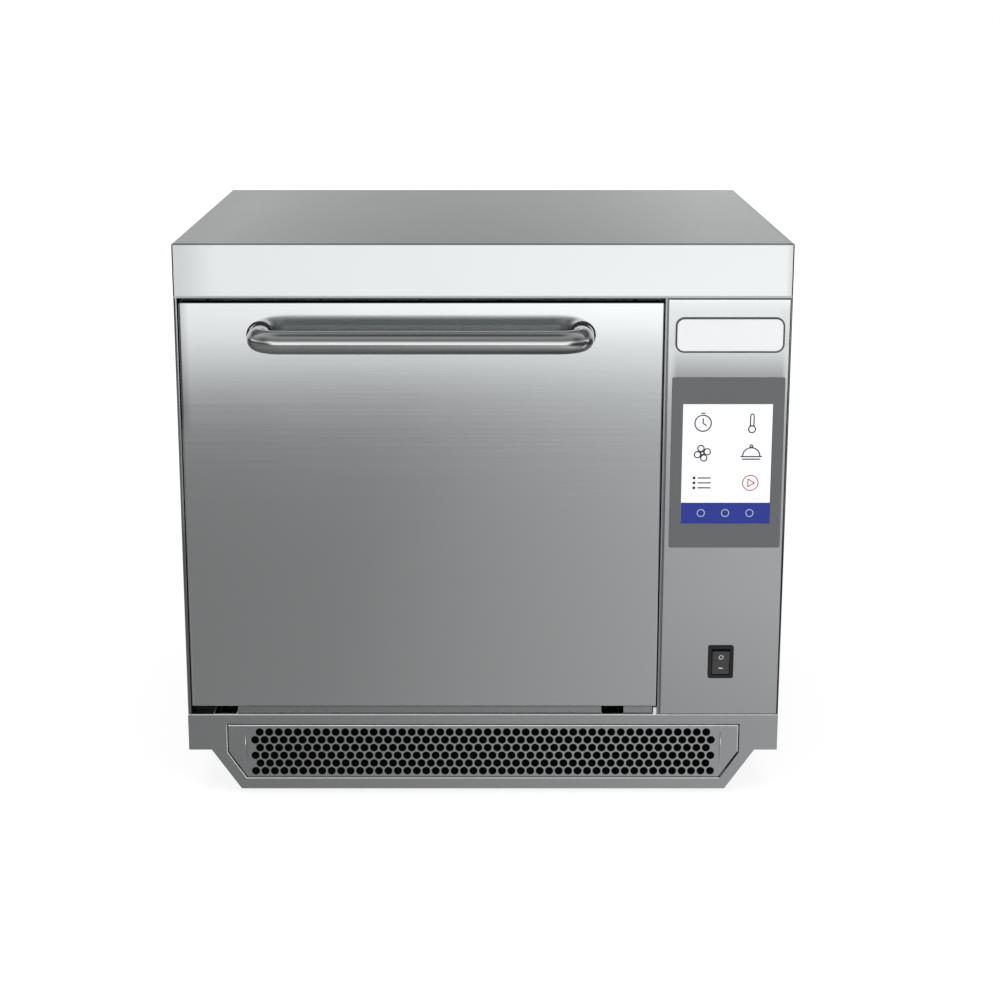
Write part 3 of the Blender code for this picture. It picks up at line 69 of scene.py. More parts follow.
# Camera at the photograph's angle
cameraSettings = {
    "location": (0.0, -2.2174, 0.8161),
    "tilt": 14.12,
    "lens": 74.94,
    "shiftX": 0.01702,
}
cameraData = bpy.data.cameras.new("camera")
cameraData.sensor_width = 36
cameraData.lens = cameraSettings["lens"]
cameraData.shift_x = cameraSettings["shiftX"]
camera = bpy.data.objects.new("camera", cameraData)
camera.location = cameraSettings["location"]
camera.rotation_euler = (math.radians(90 - cameraSettings["tilt"]), 0, 0)
scene.collection.objects.link(camera)
scene.camera = camera
scene.view_settings.view_transform = "Standard"


# Places that several pieces use
doorLow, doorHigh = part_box("door_skin")
handleLow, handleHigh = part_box("door_handle")
fasciaLow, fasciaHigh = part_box("control_fascia")
screenLow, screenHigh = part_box("touch_screen")
badgeLow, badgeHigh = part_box("badge_plate")
switchLow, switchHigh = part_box("switch_housing")
filterLow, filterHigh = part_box("air_filter_panel")
coverLow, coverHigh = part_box("top_cover")
bezelLow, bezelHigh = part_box("display_bezel")
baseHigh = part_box("base_front_panel")[1]
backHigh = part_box("back_panel")[1]
doorFront = doorLow.y
doorMiddle = (doorLow.x + doorHigh.x) / 2
close = 0.02 * mm      # places nearer than this count as the same
upright = Matrix.Rotation(math.pi / 2, 4, "X")


# Adds a node to a tree, in rows of ten. inputs holds sockets to link or values to set, by the input's name or number.
def addNode(tree, kind, inputs=None, **settings):
    node = tree.nodes.new(kind)
    row, column = divmod(len(tree.nodes), 10)
    node.location = (200 * column - 2000, 800 - 250 * row)
    for key, value in settings.items():
        setattr(node, key, value)
    for key, value in (inputs or {}).items():
        if isinstance(value, bpy.types.NodeSocket):
            tree.links.new(value, node.inputs[key])
        else:
            node.inputs[key].default_value = value
    return node


def mathNode(tree, operation, *values, clamp=False):
    return addNode(tree, "ShaderNodeMath", dict(enumerate(values)), operation=operation, use_clamp=clamp).outputs[0]


def scaled(tree, colour, factor):
    return addNode(tree, "ShaderNodeVectorMath", {0: colour, "Scale": factor}, operation="SCALE").outputs[0]


def mixed(tree, factor, first, second):
    return addNode(tree, "ShaderNodeMix", {0: factor, 6: first, 7: second}, data_type="RGBA").outputs[2]


def mixedShaders(tree, factor, first, second):
    return addNode(tree, "ShaderNodeMixShader", {0: factor, 1: first, 2: second}).outputs[0]


def mapRange(tree, source, fromMin, fromMax, toMin, toMax, smooth=False):
    return addNode(tree, "ShaderNodeMapRange",
                   {"Value": source, "From Min": fromMin, "From Max": fromMax, "To Min": toMin, "To Max": toMax},
                   interpolation_type="SMOOTHSTEP" if smooth else "LINEAR").outputs[0]


def noise(tree, vector, scale, detail, roughness):
    return addNode(tree, "ShaderNodeTexNoise",
                   {"Vector": vector, "Scale": scale, "Detail": detail, "Roughness": roughness}).outputs["Fac"]


# Shared shader groups
def newGroup(name, inputs):
    group = bpy.data.node_groups.new(name, "ShaderNodeTree")
    for label, kind in {"Vector": "Vector", **inputs}.items():
        group.interface.new_socket(name=label, in_out="INPUT", socket_type="NodeSocket" + kind)
    for label, kind in (("Colour", "Color"), ("Roughness", "Float"), ("Height", "Float")):
        group.interface.new_socket(name=label, in_out="OUTPUT", socket_type="NodeSocket" + kind)
    return group, addNode(group, "NodeGroupInput").outputs


def endGroup(group, colour, roughness, height):
    addNode(group, "NodeGroupOutput", {"Colour": colour, "Roughness": roughness, "Height": height})
    return group


# Fine brushed lines along the axis with the small stretch, and broad smudges
def makeGrainGroup():
    group, given = newGroup("brushedGrain", {
        "Stretch": "Vector", "Colour": "Color", "Tint": "Float", "Roughness": "Float", "Grain Spread": "Float",
        "Smudge Spread": "Float"})
    mapping = addNode(group, "ShaderNodeMapping", {"Vector": given["Vector"], "Scale": given["Stretch"]})
    grain = noise(group, mapping.outputs["Vector"], 1.0, 3.0, 0.65)
    smudge = noise(group, given["Vector"], 7.0, 4.0, 0.55)

    def centred(source, amount):
        return mathNode(group, "MULTIPLY", mathNode(group, "SUBTRACT", source, 0.5), amount)

    spread = mathNode(group, "ADD", centred(grain, given["Grain Spread"]), centred(smudge, given["Smudge Spread"]))
    rough = mathNode(group, "ADD", spread, given["Roughness"], clamp=True)
    tone = mathNode(group, "ADD", centred(grain, given["Tint"]), 1.0)
    return endGroup(group, scaled(group, given["Colour"], tone), rough, grain)


# Two tones that mix in fine and broad grains
def makeSpeckleGroup():
    group, given = newGroup("speckle", {
        "Scale": "Float", "Colour": "Color", "Second Colour": "Color", "Roughness": "Float", "Spread": "Float"})
    fine = noise(group, given["Vector"], given["Scale"], 2.0, 0.5)
    broad = noise(group, given["Vector"], 12.0, 3.0, 0.5)
    both = mathNode(group, "MULTIPLY_ADD", fine, 0.6, mathNode(group, "MULTIPLY", broad, 0.4))
    colour = mixed(group, both, given["Colour"], given["Second Colour"])
    centred = mathNode(group, "SUBTRACT", both, 0.5)
    rough = mathNode(group, "MULTIPLY_ADD", centred, given["Spread"], given["Roughness"], clamp=True)
    return endGroup(group, colour, rough, fine)


grainGroup = makeGrainGroup()
speckleGroup = makeSpeckleGroup()


# Materials
def newMaterial(name):
    material = bpy.data.materials.new(name)
    material.use_nodes = True
    tree = material.node_tree
    return material, tree, tree.nodes["Principled BSDF"]


# A material from a shared group's values, with a bump of a strength and a height
def fromGroup(name, group, values, bump, metallic):
    material, tree, shader = newMaterial(name)
    shader.inputs["Metallic"].default_value = metallic
    where = addNode(tree, "ShaderNodeTexCoord")
    used = addNode(tree, "ShaderNodeGroup", {**values, "Vector": where.outputs["Object"]}, node_tree=group)
    tree.links.new(used.outputs["Colour"], shader.inputs["Base Color"])
    tree.links.new(used.outputs["Roughness"], shader.inputs["Roughness"])
    if bump:
        strength, height = bump
        relief = addNode(tree, "ShaderNodeBump",
                         {"Strength": strength, "Distance": height, "Height": used.outputs["Height"]})
        tree.links.new(relief.outputs["Normal"], shader.inputs["Normal"])
    return material


def brushedMetal(name, colour, rough, stretch, tint=0.08, grain=0.08, smudge=0.05, bump=(0.25, 0.00002),
                 metallic=1.0):
    return fromGroup(name, grainGroup,
                     {"Stretch": stretch, "Colour": (*colour, 1), "Tint": tint, "Roughness": rough,
                      "Grain Spread": grain, "Smudge Spread": smudge}, bump, metallic)


def plainPlastic(name, colour, second, rough, scale=900.0, spread=0.12, bump=(0.2, 0.00005), metallic=0.0):
    return fromGroup(name, speckleGroup,
                     {"Scale": scale, "Colour": (*colour, 1), "Second Colour": (*second, 1),
                      "Roughness": rough, "Spread": spread}, bump, metallic)


steelTone = (0.748, 0.772, 0.779)
steelFront = brushedMetal("steelFront", steelTone, 0.155, (3, 900, 900), tint=0.05, grain=0.05, smudge=0.03)
steelSide = brushedMetal("steelSide", steelTone, 0.2, (900, 3, 900), tint=0.05)
steelBase = brushedMetal("steelBase", (0.74, 0.755, 0.758), 0.24, (3, 900, 900), tint=0.06)
steelSkirt = brushedMetal("steelSkirt", (0.63, 0.65, 0.657), 0.24, (3, 900, 900), tint=0.06)
# A bright and a dark steel for folds and small blocks: painted highlight and painted shade
steelPaintedHighlight = brushedMetal("steelPaintedHighlight", (0.92, 0.93, 0.93), 0.42, (300, 300, 300), tint=0.04, metallic=0.2)
steelPaintedShade = brushedMetal("steelPaintedShade", (0.16, 0.165, 0.165), 0.4, (300, 300, 300), tint=0.04)
# A pale, duller steel for the sill's top faces, painted light where the door shades the sill
steelSillPaintedLight = brushedMetal("steelSillPaintedLight", (0.93, 0.94, 0.94), 0.5, (3, 700, 700), tint=0.1, metallic=0.1)
# A dark grey for sheets in gaps and at the lips' feet, painted shade
steelGapShade = brushedMetal("steelGapShade", (0.25, 0.26, 0.26), 0.3, (3, 700, 700), tint=0.05)
steelHem = brushedMetal("steelHem", (0.50, 0.515, 0.52), 0.24, (3, 700, 700), tint=0.05)
steelDivider = brushedMetal("steelDivider", (0.46, 0.475, 0.48), 0.24, (700, 700, 3), tint=0.05)
steelCavity = brushedMetal("steelCavity", (0.60, 0.60, 0.58), 0.30, (3, 500, 500), smudge=0.14)
polishedTube = brushedMetal("polishedTube", (0.76, 0.78, 0.785), 0.11, (40, 300, 300), tint=0.03, grain=0.03,
                            smudge=0.04, bump=(0.05, 0.00001))
screwSteel = brushedMetal("screwSteel", (0.80, 0.80, 0.80), 0.3, (300, 300, 300), metallic=0.7)
springSteel = brushedMetal("springSteel", (0.30, 0.31, 0.32), 0.35, (300, 300, 300))
hingeSteel = brushedMetal("hingeSteel", (0.10, 0.10, 0.10), 0.4, (300, 300, 300), tint=0.2)
aluminium = brushedMetal("aluminium", (0.76, 0.77, 0.78), 0.38, (60, 400, 400))
rackWire = brushedMetal("rackWire", (0.68, 0.68, 0.67), 0.24, (300, 300, 300), smudge=0.1)
zincSheet = plainPlastic("zincSheet", (0.46, 0.48, 0.50), (0.62, 0.64, 0.65), 0.42, 60.0, 0.2, (0.05, 0.00003), 1.0)
heaterMetal = plainPlastic("heaterMetal", (0.16, 0.15, 0.15), (0.28, 0.25, 0.23), 0.5, 250.0, 0.2,
                           (0.2, 0.00003), 1.0)
blackPlastic = plainPlastic("blackPlastic", (0.004, 0.004, 0.0045), (0.013, 0.013, 0.014), 0.45)
rockerPlastic = plainPlastic("rockerPlastic", (0.004, 0.004, 0.004), (0.10, 0.10, 0.10), 0.5, 1300.0, 0.2,
                             (0.7, 0.0001))
bezelGrey = plainPlastic("bezelGrey", (0.128, 0.134, 0.137), (0.148, 0.154, 0.158), 0.5)
gasketGrey = plainPlastic("gasketGrey", (0.20, 0.20, 0.20), (0.30, 0.30, 0.29), 0.6, 400.0)
soleRubber = plainPlastic("soleRubber", (0.02, 0.02, 0.02), (0.05, 0.05, 0.05), 0.75, 500.0)
collarRubber = plainPlastic("collarRubber", (0.014, 0.009, 0.009), (0.036, 0.024, 0.024), 0.45)
foam = plainPlastic("foam", (0.001, 0.001, 0.001), (0.005, 0.005, 0.005), 0.95, 700.0, 0.05, (1.0, 0.0005))
foam.node_tree.nodes["Principled BSDF"].inputs["Specular IOR Level"].default_value = 0.0
mineralWool = plainPlastic("mineralWool", (0.55, 0.50, 0.36), (0.80, 0.76, 0.62), 0.95, 220.0, 0.05,
                           (1.0, 0.002))
tileCeramic = plainPlastic("tileCeramic", (0.62, 0.58, 0.50), (0.76, 0.72, 0.64), 0.5, 350.0)
boardGreen = plainPlastic("boardGreen", (0.02, 0.14, 0.06), (0.04, 0.24, 0.10), 0.4, 500.0)
badgeWhite = plainPlastic("badgeWhite", (0.93, 0.94, 0.95), (0.96, 0.965, 0.97), 0.25, 300.0, 0.05, (0.02, 0.00001))
markWhite = plainPlastic("markWhite", (0.72, 0.74, 0.74), (0.85, 0.86, 0.86), 0.5)


# A display layer that is lit from behind
def litGlass(name, colour, strength):
    material = plainPlastic(name, colour, [c * 0.97 for c in colour], 0.3, 1400.0, 0.03, None)
    shader = material.node_tree.nodes["Principled BSDF"]
    shader.inputs["Specular IOR Level"].default_value = 0.2
    shader.inputs["Emission Color"].default_value = (*colour, 1)
    shader.inputs["Emission Strength"].default_value = strength
    return material


displayWhite = litGlass("displayWhite", (0.94, 0.945, 0.96), 0.2)
displayBlue = litGlass("displayBlue", (0.03, 0.048, 0.3), 0.06)
displayLine = litGlass("displayLine", (0.03, 0.036, 0.07), 0.0)
displayRed = litGlass("displayRed", (0.48, 0.03, 0.04), 0.05)
displayPale = litGlass("displayPale", (0.52, 0.53, 0.64), 0.08)
print("materials made")


def newObject(name, bm, material):
    mesh = bpy.data.meshes.new(name)
    bm.to_mesh(mesh)
    bm.free()
    mesh.materials.append(material)
    made = bpy.data.objects.new(name, mesh)
    scene.collection.objects.link(made)
    return made


# smooth is the angle up to which faces are shaded as one surface, 0 for flat faces, 180 for all
def newPiece(name, bm, material, body, smooth):
    piece = newObject(name, bm, material)
    if smooth:
        piece.data.shade_smooth()
    if 0 < smooth < 180:
        piece.data.set_sharp_from_angle(angle=math.radians(smooth))
    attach(piece, body)
    return piece


# Rounds the corners over an angle and keeps the wide faces flat to the light
def roundEdges(piece, width, segments=2, angle=35):
    bevel = piece.modifiers.new("roundEdges", "BEVEL")
    bevel.width = width
    bevel.segments = segments
    bevel.limit_method = "ANGLE"
    bevel.angle_limit = math.radians(angle)
    bevel.use_clamp_overlap = True
    even = piece.modifiers.new("evenNormals", "WEIGHTED_NORMAL")
    even.mode = "FACE_AREA"
    even.weight = 100


def mergedCopy(node):
    bm = bmesh.new()
    bm.from_mesh(nodes[node].data)
    bmesh.ops.remove_doubles(bm, verts=bm.verts, dist=0.005 * mm)
    bmesh.ops.dissolve_limit(bm, angle_limit=math.radians(0.5), verts=bm.verts, edges=bm.edges)
    bm.normal_update()
    return bm


# A copy of a node, or a mesh made from one, with its edges rounded, shown in the node's place
def softened(node, material, name, width=0.35 * mm, segments=2, smooth=180, bm=None):
    bm = mergedCopy(node) if bm is None else bm
    piece = newPiece(name, bm, material, nodes[node]["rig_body"], smooth)
    if width:
        roundEdges(piece, width, segments)
    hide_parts(node)
    return piece


def bevelEdges(bm, edges, width, segments):
    return bmesh.ops.bevel(bm, geom=edges, offset=width, segments=segments, profile=0.5, affect="EDGES",
                           material=-1)["faces"]


# Turns flat faces towards the front
def faceFront(bm):
    bm.normal_update()
    for f in bm.faces:
        if f.normal.y > 0:
            f.normal_flip()


def addBox(bm, low, high):
    size = Vector(high) - Vector(low)
    matrix = Matrix.Translation((Vector(low) + Vector(high)) / 2) @ Matrix.Diagonal((*size, 1))
    bmesh.ops.create_cube(bm, size=1, matrix=matrix)


# Blocks in one piece, each from a left to a right and a low to a high place, near to far behind the door's front
def blocks(name, material, near, far, spans, width=0, body="oven"):
    bm = bmesh.new()
    for left, right, low, high in spans:
        addBox(bm, (left, doorFront + near, low), (right, doorFront + far, high))
    piece = newPiece(name, bm, material, body, 180 if width else 0)
    if width:
        roundEdges(piece, width)


# A folded sheet that is open on one side, in the place of a node. Each fold has its own radius.
def sheetTray(node, openSide, material, name, folds):
    low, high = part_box(node)
    more = folds.get("outward", {})
    low = low - Vector((more.get("left", 0), 0, 0))
    high = high + Vector((more.get("right", 0), 0, more.get("top", 0)))
    middle = (low + high) / 2
    bm = bmesh.new()
    addBox(bm, low, high)
    bm.normal_update()
    gone = [f for f in bm.faces if f.normal.dot(Vector(openSide)) > 0.9]
    bmesh.ops.delete(bm, geom=gone, context="FACES")
    share = bm.edges.layers.float.new("bevel_weight_edge")
    largest = max(folds["radii"].values())
    for edge in bm.edges:
        if edge.is_boundary:
            continue
        out = (edge.verts[0].co + edge.verts[1].co) / 2 - middle
        sides = {"left": -out.x, "right": out.x, "top": out.z, "bottom": -out.z, "rest": 0.01 * mm}
        half = {"left": middle.x - low.x, "right": high.x - middle.x, "top": high.z - middle.z,
                "bottom": middle.z - low.z, "rest": 1}
        named = max(folds["radii"], key=lambda side: sides[side] / half[side])
        edge[share] = folds["radii"][named] / largest
    piece = newPiece(name, bm, material, nodes[node]["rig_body"], 180)
    fold = piece.modifiers.new("folds", "BEVEL")
    fold.width = largest
    fold.segments = folds["steps"]
    fold.limit_method = "WEIGHT"
    wall = piece.modifiers.new("sheet", "SOLIDIFY")
    wall.thickness = folds["sheet"]
    wall.offset = -1
    roundEdges(piece, folds["rim"], 2, 60)
    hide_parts(node)


def dress(material, *names):
    for name in names:
        mesh = nodes[name].data
        mesh.materials.clear()
        mesh.materials.append(material)


# A copy of a steel with painted shade in places, and painted highlights where a shade's values are below nought. A
# shade is a list of ramps whose product is taken off the colour, and a ramp is an axis, two places on it, the values
# there, and True if it eases.
def paintedLightSteel(name, base, shades):
    material = base.copy()
    material.name = name
    tree = material.node_tree
    where = tree.nodes["Texture Coordinate"].outputs["Object"]
    axes = addNode(tree, "ShaderNodeSeparateXYZ", {0: where}).outputs
    colour = tree.nodes["Group"].outputs["Colour"]
    for ramps in shades:
        product = 1.0
        for axis, *ramp in ramps:
            product = mathNode(tree, "MULTIPLY", product, mapRange(tree, axes[axis], *ramp))
        colour = scaled(tree, colour, mathNode(tree, "SUBTRACT", 1.0, product))
    tree.links.new(colour, tree.nodes["Principled BSDF"].inputs["Base Color"])
    return material


# Casing. The band is a little darker towards its ends, a painted shade.
coverFolds = {"radii": {"rest": 2 * mm}, "steps": 5, "sheet": 1.5 * mm, "rim": 0.3 * mm}
coverPaintedShade = {"leftWidth": 48 * mm, "left": 0.22, "rightWidth": 9 * mm, "right": 0.2}
s = coverPaintedShade
steelCover = paintedLightSteel("steelCover", steelFront, [
    [("X", coverLow.x, coverLow.x + s["leftWidth"], s["left"], 0, True)],
    [("X", coverHigh.x - s["rightWidth"], coverHigh.x, 0, s["right"], True)]])
sheetTray("top_cover", (0, 0, -1), steelCover, "topCover", coverFolds)
softened("back_panel", steelBase, "backPanel", 0.25 * mm, 1)
softened("front_frame", steelCavity, "frontFrame", 0.3 * mm)

# Side panels with a wide round fold at their front edge. Its lower part has a painted dark reflection, more so at the
# right.
sideFolds = {"left": 3 * mm, "right": 1.35 * mm}
sidePaintedShade = {"from": 250 * mm, "to": 320 * mm, "width": 4 * mm, "left": 0.5, "right": 0.85}
s = sidePaintedShade
steelPanel = paintedLightSteel("steelPanel", steelSide, [
    [("Z", s["from"], s["to"], 1, 0, True), ("Y", doorFront, doorFront + s["width"], 1, 0),
     ("X", coverLow.x, coverHigh.x, s["left"], s["right"])]])
for side, radius in sideFolds.items():
    node = f"{side}_side_panel"
    panelLow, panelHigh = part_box(node)
    outer = panelLow.x if side == "left" else panelHigh.x
    bm = mergedCopy(node)
    bevelEdges(bm, [e for e in bm.edges if all(abs(v.co.x - outer) < close and abs(v.co.y - panelLow.y) < close
                                               for v in e.verts)], radius, 5)
    softened(node, steelPanel, f"{side}Side", 0.3 * mm, bm=bm)

# Fascia with a narrow gap above it. It has a painted highlight along its upper edge, a soft painted shade down to the
# display, and painted shade beside the badge and at its foot.
fasciaTop = {"lower": 1.3 * mm, "round": 0.2 * mm}
fasciaPaintedShade = {"reach": 32 * mm, "display": 0.6, "ends": 5 * mm, "beyond": 2 * mm, "under": 3 * mm, "ease": 1 * mm,
               "upperFrom": 3 * mm, "upperTo": 12 * mm, "lowerFrom": 44 * mm, "lowerTo": 52 * mm, "upper": 0.07,
               "rightFrom": 12 * mm, "rightTo": 6 * mm, "right": 0.05, "footHeight": 125 * mm, "foot": 0.11,
               "edgeFrom": 2.3 * mm, "edgeTo": 1.5 * mm, "edge": 0.16}
s, low, high, top = fasciaPaintedShade, bezelLow, bezelHigh, fasciaHigh.z
steelFascia = paintedLightSteel("steelFascia", steelFront, [
    [("Z", high.z, high.z + s["reach"], 1 - s["display"], 0),
     ("Z", high.z - s["under"], high.z - s["under"] + s["ease"], 0, 1),
     ("X", low.x - s["beyond"], low.x + s["ends"], 0, 1, True),
     ("X", high.x - s["ends"], high.x + s["beyond"], 1, 0, True)],
    [("Z", top - s["upperTo"], top - s["upperFrom"], 1, 0), ("Z", top - s["lowerTo"], top - s["lowerFrom"], 0, 1),
     ("X", fasciaHigh.x - s["rightFrom"], fasciaHigh.x - s["rightTo"], s["upper"], s["upper"] + s["right"])],
    [("Z", fasciaLow.z, fasciaLow.z + s["footHeight"], s["foot"], 0)],
    [("Z", top - s["edgeFrom"], top - s["edgeTo"], 0, -s["edge"])]])
bm = mergedCopy("control_fascia")
for vert in [v for v in bm.verts if v.co.z > fasciaHigh.z - close]:
    vert.co.z -= fasciaTop["lower"]
softened("control_fascia", steelFascia, "controlFascia", fasciaTop["round"], bm=bm)

# Hem under the band, and grey sheets behind the narrow gaps round the fascia and left of the door, whose tones are
# painted shade for the gaps
hem = {"height": 2.6 * mm, "depth": 5 * mm, "inset": 1.2 * mm, "behind": 0.05 * mm, "round": 1.0 * mm,
       "lap": 0.4 * mm}
bm = bmesh.new()
addBox(bm, (coverLow.x + hem["inset"], doorFront + hem["behind"], coverLow.z - hem["height"]),
       (coverHigh.x - hem["inset"], doorFront + hem["depth"], coverLow.z + hem["lap"]))
bevelEdges(bm, [e for e in bm.edges if all(v.co.y < doorFront + mm and v.co.z < coverLow.z for v in e.verts)],
           hem["round"], 5)
roundEdges(newPiece("bandHem", bm, steelHem, "oven", 180), 0.1 * mm, 1)

backing = {"behind": 1.3 * mm, "sheet": 0.4 * mm, "side": 1.3 * mm, "end": 3.4 * mm, "left": 8 * mm, "lap": 4 * mm}
s, inner = backing, fasciaLow.x + backing["left"]
blocks("fasciaFlanges", steelGapShade, s["behind"], s["behind"] + s["sheet"], [
    (fasciaLow.x - s["side"], inner, fasciaLow.z - s["side"], fasciaHigh.z + s["end"]),
    (inner, fasciaHigh.x, fasciaHigh.z - s["lap"], fasciaHigh.z + s["end"]),
    (inner, fasciaHigh.x, fasciaLow.z - s["side"], fasciaLow.z + s["lap"])])

jamb = {"behind": 2.2 * mm, "depth": 4 * mm, "clear": 1.3 * mm, "sheet": 1.5 * mm, "under": 0.5 * mm}
blocks("leftJamb", steelDivider, jamb["behind"], jamb["behind"] + jamb["depth"], [
    (coverLow.x + jamb["sheet"], doorLow.x - jamb["clear"], fasciaLow.z, coverLow.z - hem["height"] - jamb["under"])])

baseEdges = {"shine": 0.45 * mm, "seam": 0.7 * mm, "segments": 2, "reach": 2 * mm}
bm = mergedCopy("base_front_panel")


def atFront(edge):
    return max(v.co.y for v in edge.verts) < doorFront + close and edge.calc_face_angle(0) > 0.6


# Folds that face up or to the right get a painted highlight, the others painted shade
def paintedLitOrShaded(faces):
    for f in faces:
        f.material_index = 1 if f.normal.x + f.normal.z > 0.25 else 2


topEdges = [e for e in bm.edges if atFront(e) and min(v.co.z for v in e.verts) > baseHigh.z - close]
paintedLitOrShaded(bevelEdges(bm, topEdges, baseEdges["shine"], baseEdges["segments"]))
reach = baseEdges["reach"]
seamEdges = [e for e in bm.edges if atFront(e) and all(filterLow.x - reach < v.co.x < filterHigh.x + reach and
                                                       filterLow.z - reach < v.co.z < filterHigh.z + reach
                                                       for v in e.verts)]
seamFaces = bevelEdges(bm, seamEdges, baseEdges["seam"], baseEdges["segments"])
bm.normal_update()
paintedLitOrShaded(seamFaces)
# The top faces of the base get the pale sill steel, painted light in the door's shade
for f in bm.faces:
    if f.normal.z > 0.9 and f.calc_center_median().z > baseHigh.z - close:
        f.material_index = 3
baseFront = softened("base_front_panel", steelSkirt, "baseFront", 0.25 * mm, bm=bm)
for extra in (steelPaintedHighlight, steelPaintedShade, steelSillPaintedLight):
    baseFront.data.materials.append(extra)
print("edges of the base that catch the light:", len(topEdges), len(seamEdges))

# On the sill: a bright block under the door's lower right corner, a painted highlight; two low lips whose feet are dark
# strips, painted shade; and a dark plate, painted shade
sill = {"sunk": 0.1 * mm, "blockLeft": -2.3 * mm, "blockRight": 1.3 * mm, "blockHeight": 7.2 * mm,
        "blockDepth": 6 * mm, "behind": 1.5 * mm, "lips": ((-248.5 * mm, 120 * mm), (142.5 * mm, 171.5 * mm)),
        "lipHeight": 7.6 * mm, "lipBehind": 4 * mm, "lipSheet": 0.8 * mm, "footFrom": 1.6 * mm,
        "footRise": 0.15 * mm, "plate": (-297 * mm, -273.2 * mm), "plateRise": 0.5 * mm, "plateDepth": 26 * mm}
s, sunk = sill, baseHigh.z - sill["sunk"]
blocks("doorBlockHighlight", steelPaintedHighlight, s["behind"], s["behind"] + s["blockDepth"],
       [(doorHigh.x + s["blockLeft"], doorHigh.x + s["blockRight"], sunk, baseHigh.z + s["blockHeight"])], 0.4 * mm)
blocks("sillLips", steelHem, s["lipBehind"], s["lipBehind"] + s["lipSheet"],
       [(*lip, sunk, baseHigh.z + s["lipHeight"]) for lip in s["lips"]], 0.15 * mm)
blocks("sillFootShade", steelGapShade, s["footFrom"], s["lipBehind"],
       [(*lip, sunk, baseHigh.z + s["footRise"]) for lip in s["lips"]])
blocks("sillPlateShade", hingeSteel, s["behind"], s["plateDepth"], [(*s["plate"], sunk, baseHigh.z + s["plateRise"])])

dress(steelDivider, "divider_wall")
dress(zincSheet, "base_pan", "chassis_deck", "stirrer_motor", "convection_motor", "cooling_fan_motor",
      "transformer")
for side in ("left", "right"):
    dress(hingeSteel, f"hinge_bracket_{side}", f"hinge_arm_{side}", f"hinge_pin_{side}")
for end in ("front", "rear"):
    for side in ("left", "right"):
        softened(f"foot_{end}_{side}", soleRubber, f"foot{end.title()}{side.title()}", 0.6 * mm)
print("casing done")


# Door. Its upper part is brighter, a painted reflection of the brightest part of the room, most towards the right, and
# its left edge has painted shade above and a painted highlight below.
doorFolds = {"radii": {"left": 3.6 * mm, "right": 1.8 * mm, "top": 0.7 * mm, "bottom": 1.6 * mm}, "steps": 6,
             "sheet": 1.5 * mm, "rim": 0.5 * mm, "outward": {"left": 0.8 * mm, "right": 0.6 * mm, "top": -0.4 * mm}}
doorPaintedLight = {"from": 455 * mm, "to": 500 * mm, "glow": 0.12, "left": 0.25, "edgeFrom": 366 * mm, "edgeTo": 402 * mm,
             "edgeWidth": 10 * mm, "edge": 0.36, "foldFrom": 1.5 * mm, "foldTo": 3 * mm, "fold": 0.22}
s = doorPaintedLight
steelDoor = paintedLightSteel("steelDoor", steelFront, [
    [("Z", s["from"], s["to"], 0, -s["glow"], True), ("X", doorLow.x, 0, s["left"], 1)],
    [("Z", s["edgeFrom"], s["edgeTo"], 0, 1, True), ("X", doorLow.x, doorLow.x + s["edgeWidth"], s["edge"], 0)],
    [("Z", s["edgeFrom"], s["edgeTo"], 1, 0, True),
     ("X", doorLow.x + s["foldFrom"], doorLow.x + s["foldTo"], -s["fold"], 0)]])
doorTop = doorHigh.z + doorFolds["outward"]["top"]
sheetTray("door_skin", (0, 1, 0), steelDoor, "doorSkin", doorFolds)
softened("door_inner_panel", steelCavity, "doorInner", 0.5 * mm)
softened("door_seal", gasketGrey, "doorSeal", 1.2 * mm, 3)

# Handle, with painted shade below, most towards the right, and at its rear
handleSettings = {"radius": 11.1 * mm, "bend": 24 * mm, "standoff": 45.4 * mm, "sides": 40, "bendSteps": 14,
                  "wider": 1.6 * mm, "lower": 0.35 * mm, "clear": 0.3 * mm}
handlePaintedShade = {"from": 1.5 * mm, "to": 8 * mm, "left": 0.35, "right": 0.85, "rearFrom": 1 * mm, "rearTo": 7 * mm,
               "rear": 0.3}
barFront = doorFront - handleSettings["standoff"]
handleMiddle = (handleLow.z + handleHigh.z) / 2
s = handlePaintedShade
handleTube = paintedLightSteel("handleTube", polishedTube, [
    [("Z", handleMiddle - s["to"], handleMiddle - s["from"], 1, 0, True),
     ("X", handleLow.x, handleHigh.x, s["left"], s["right"])],
    [("Y", barFront + s["rearFrom"], barFront + s["rearTo"], 0, s["rear"], True)]])


def handlePath():
    s = handleSettings
    left, right = handleLow.x + s["radius"] - s["wider"], handleHigh.x - s["radius"] + s["wider"]
    z = handleMiddle - s["lower"]
    path = [Vector((left, doorFront - s["clear"], z))]
    for i in range(s["bendSteps"] + 1):
        turn = math.pi / 2 * i / s["bendSteps"]
        path.append(Vector((left + s["bend"] * (1 - math.cos(turn)), barFront + s["bend"] * (1 - math.sin(turn)), z)))
    other = [Vector((left + right - p.x, p.y, p.z)) for p in reversed(path)]
    return path + other


# Merges doubles and turns the faces outwards
def mergeDoubles(bm):
    bmesh.ops.remove_doubles(bm, verts=bm.verts, dist=0.002 * mm)
    bmesh.ops.recalc_face_normals(bm, faces=bm.faces)


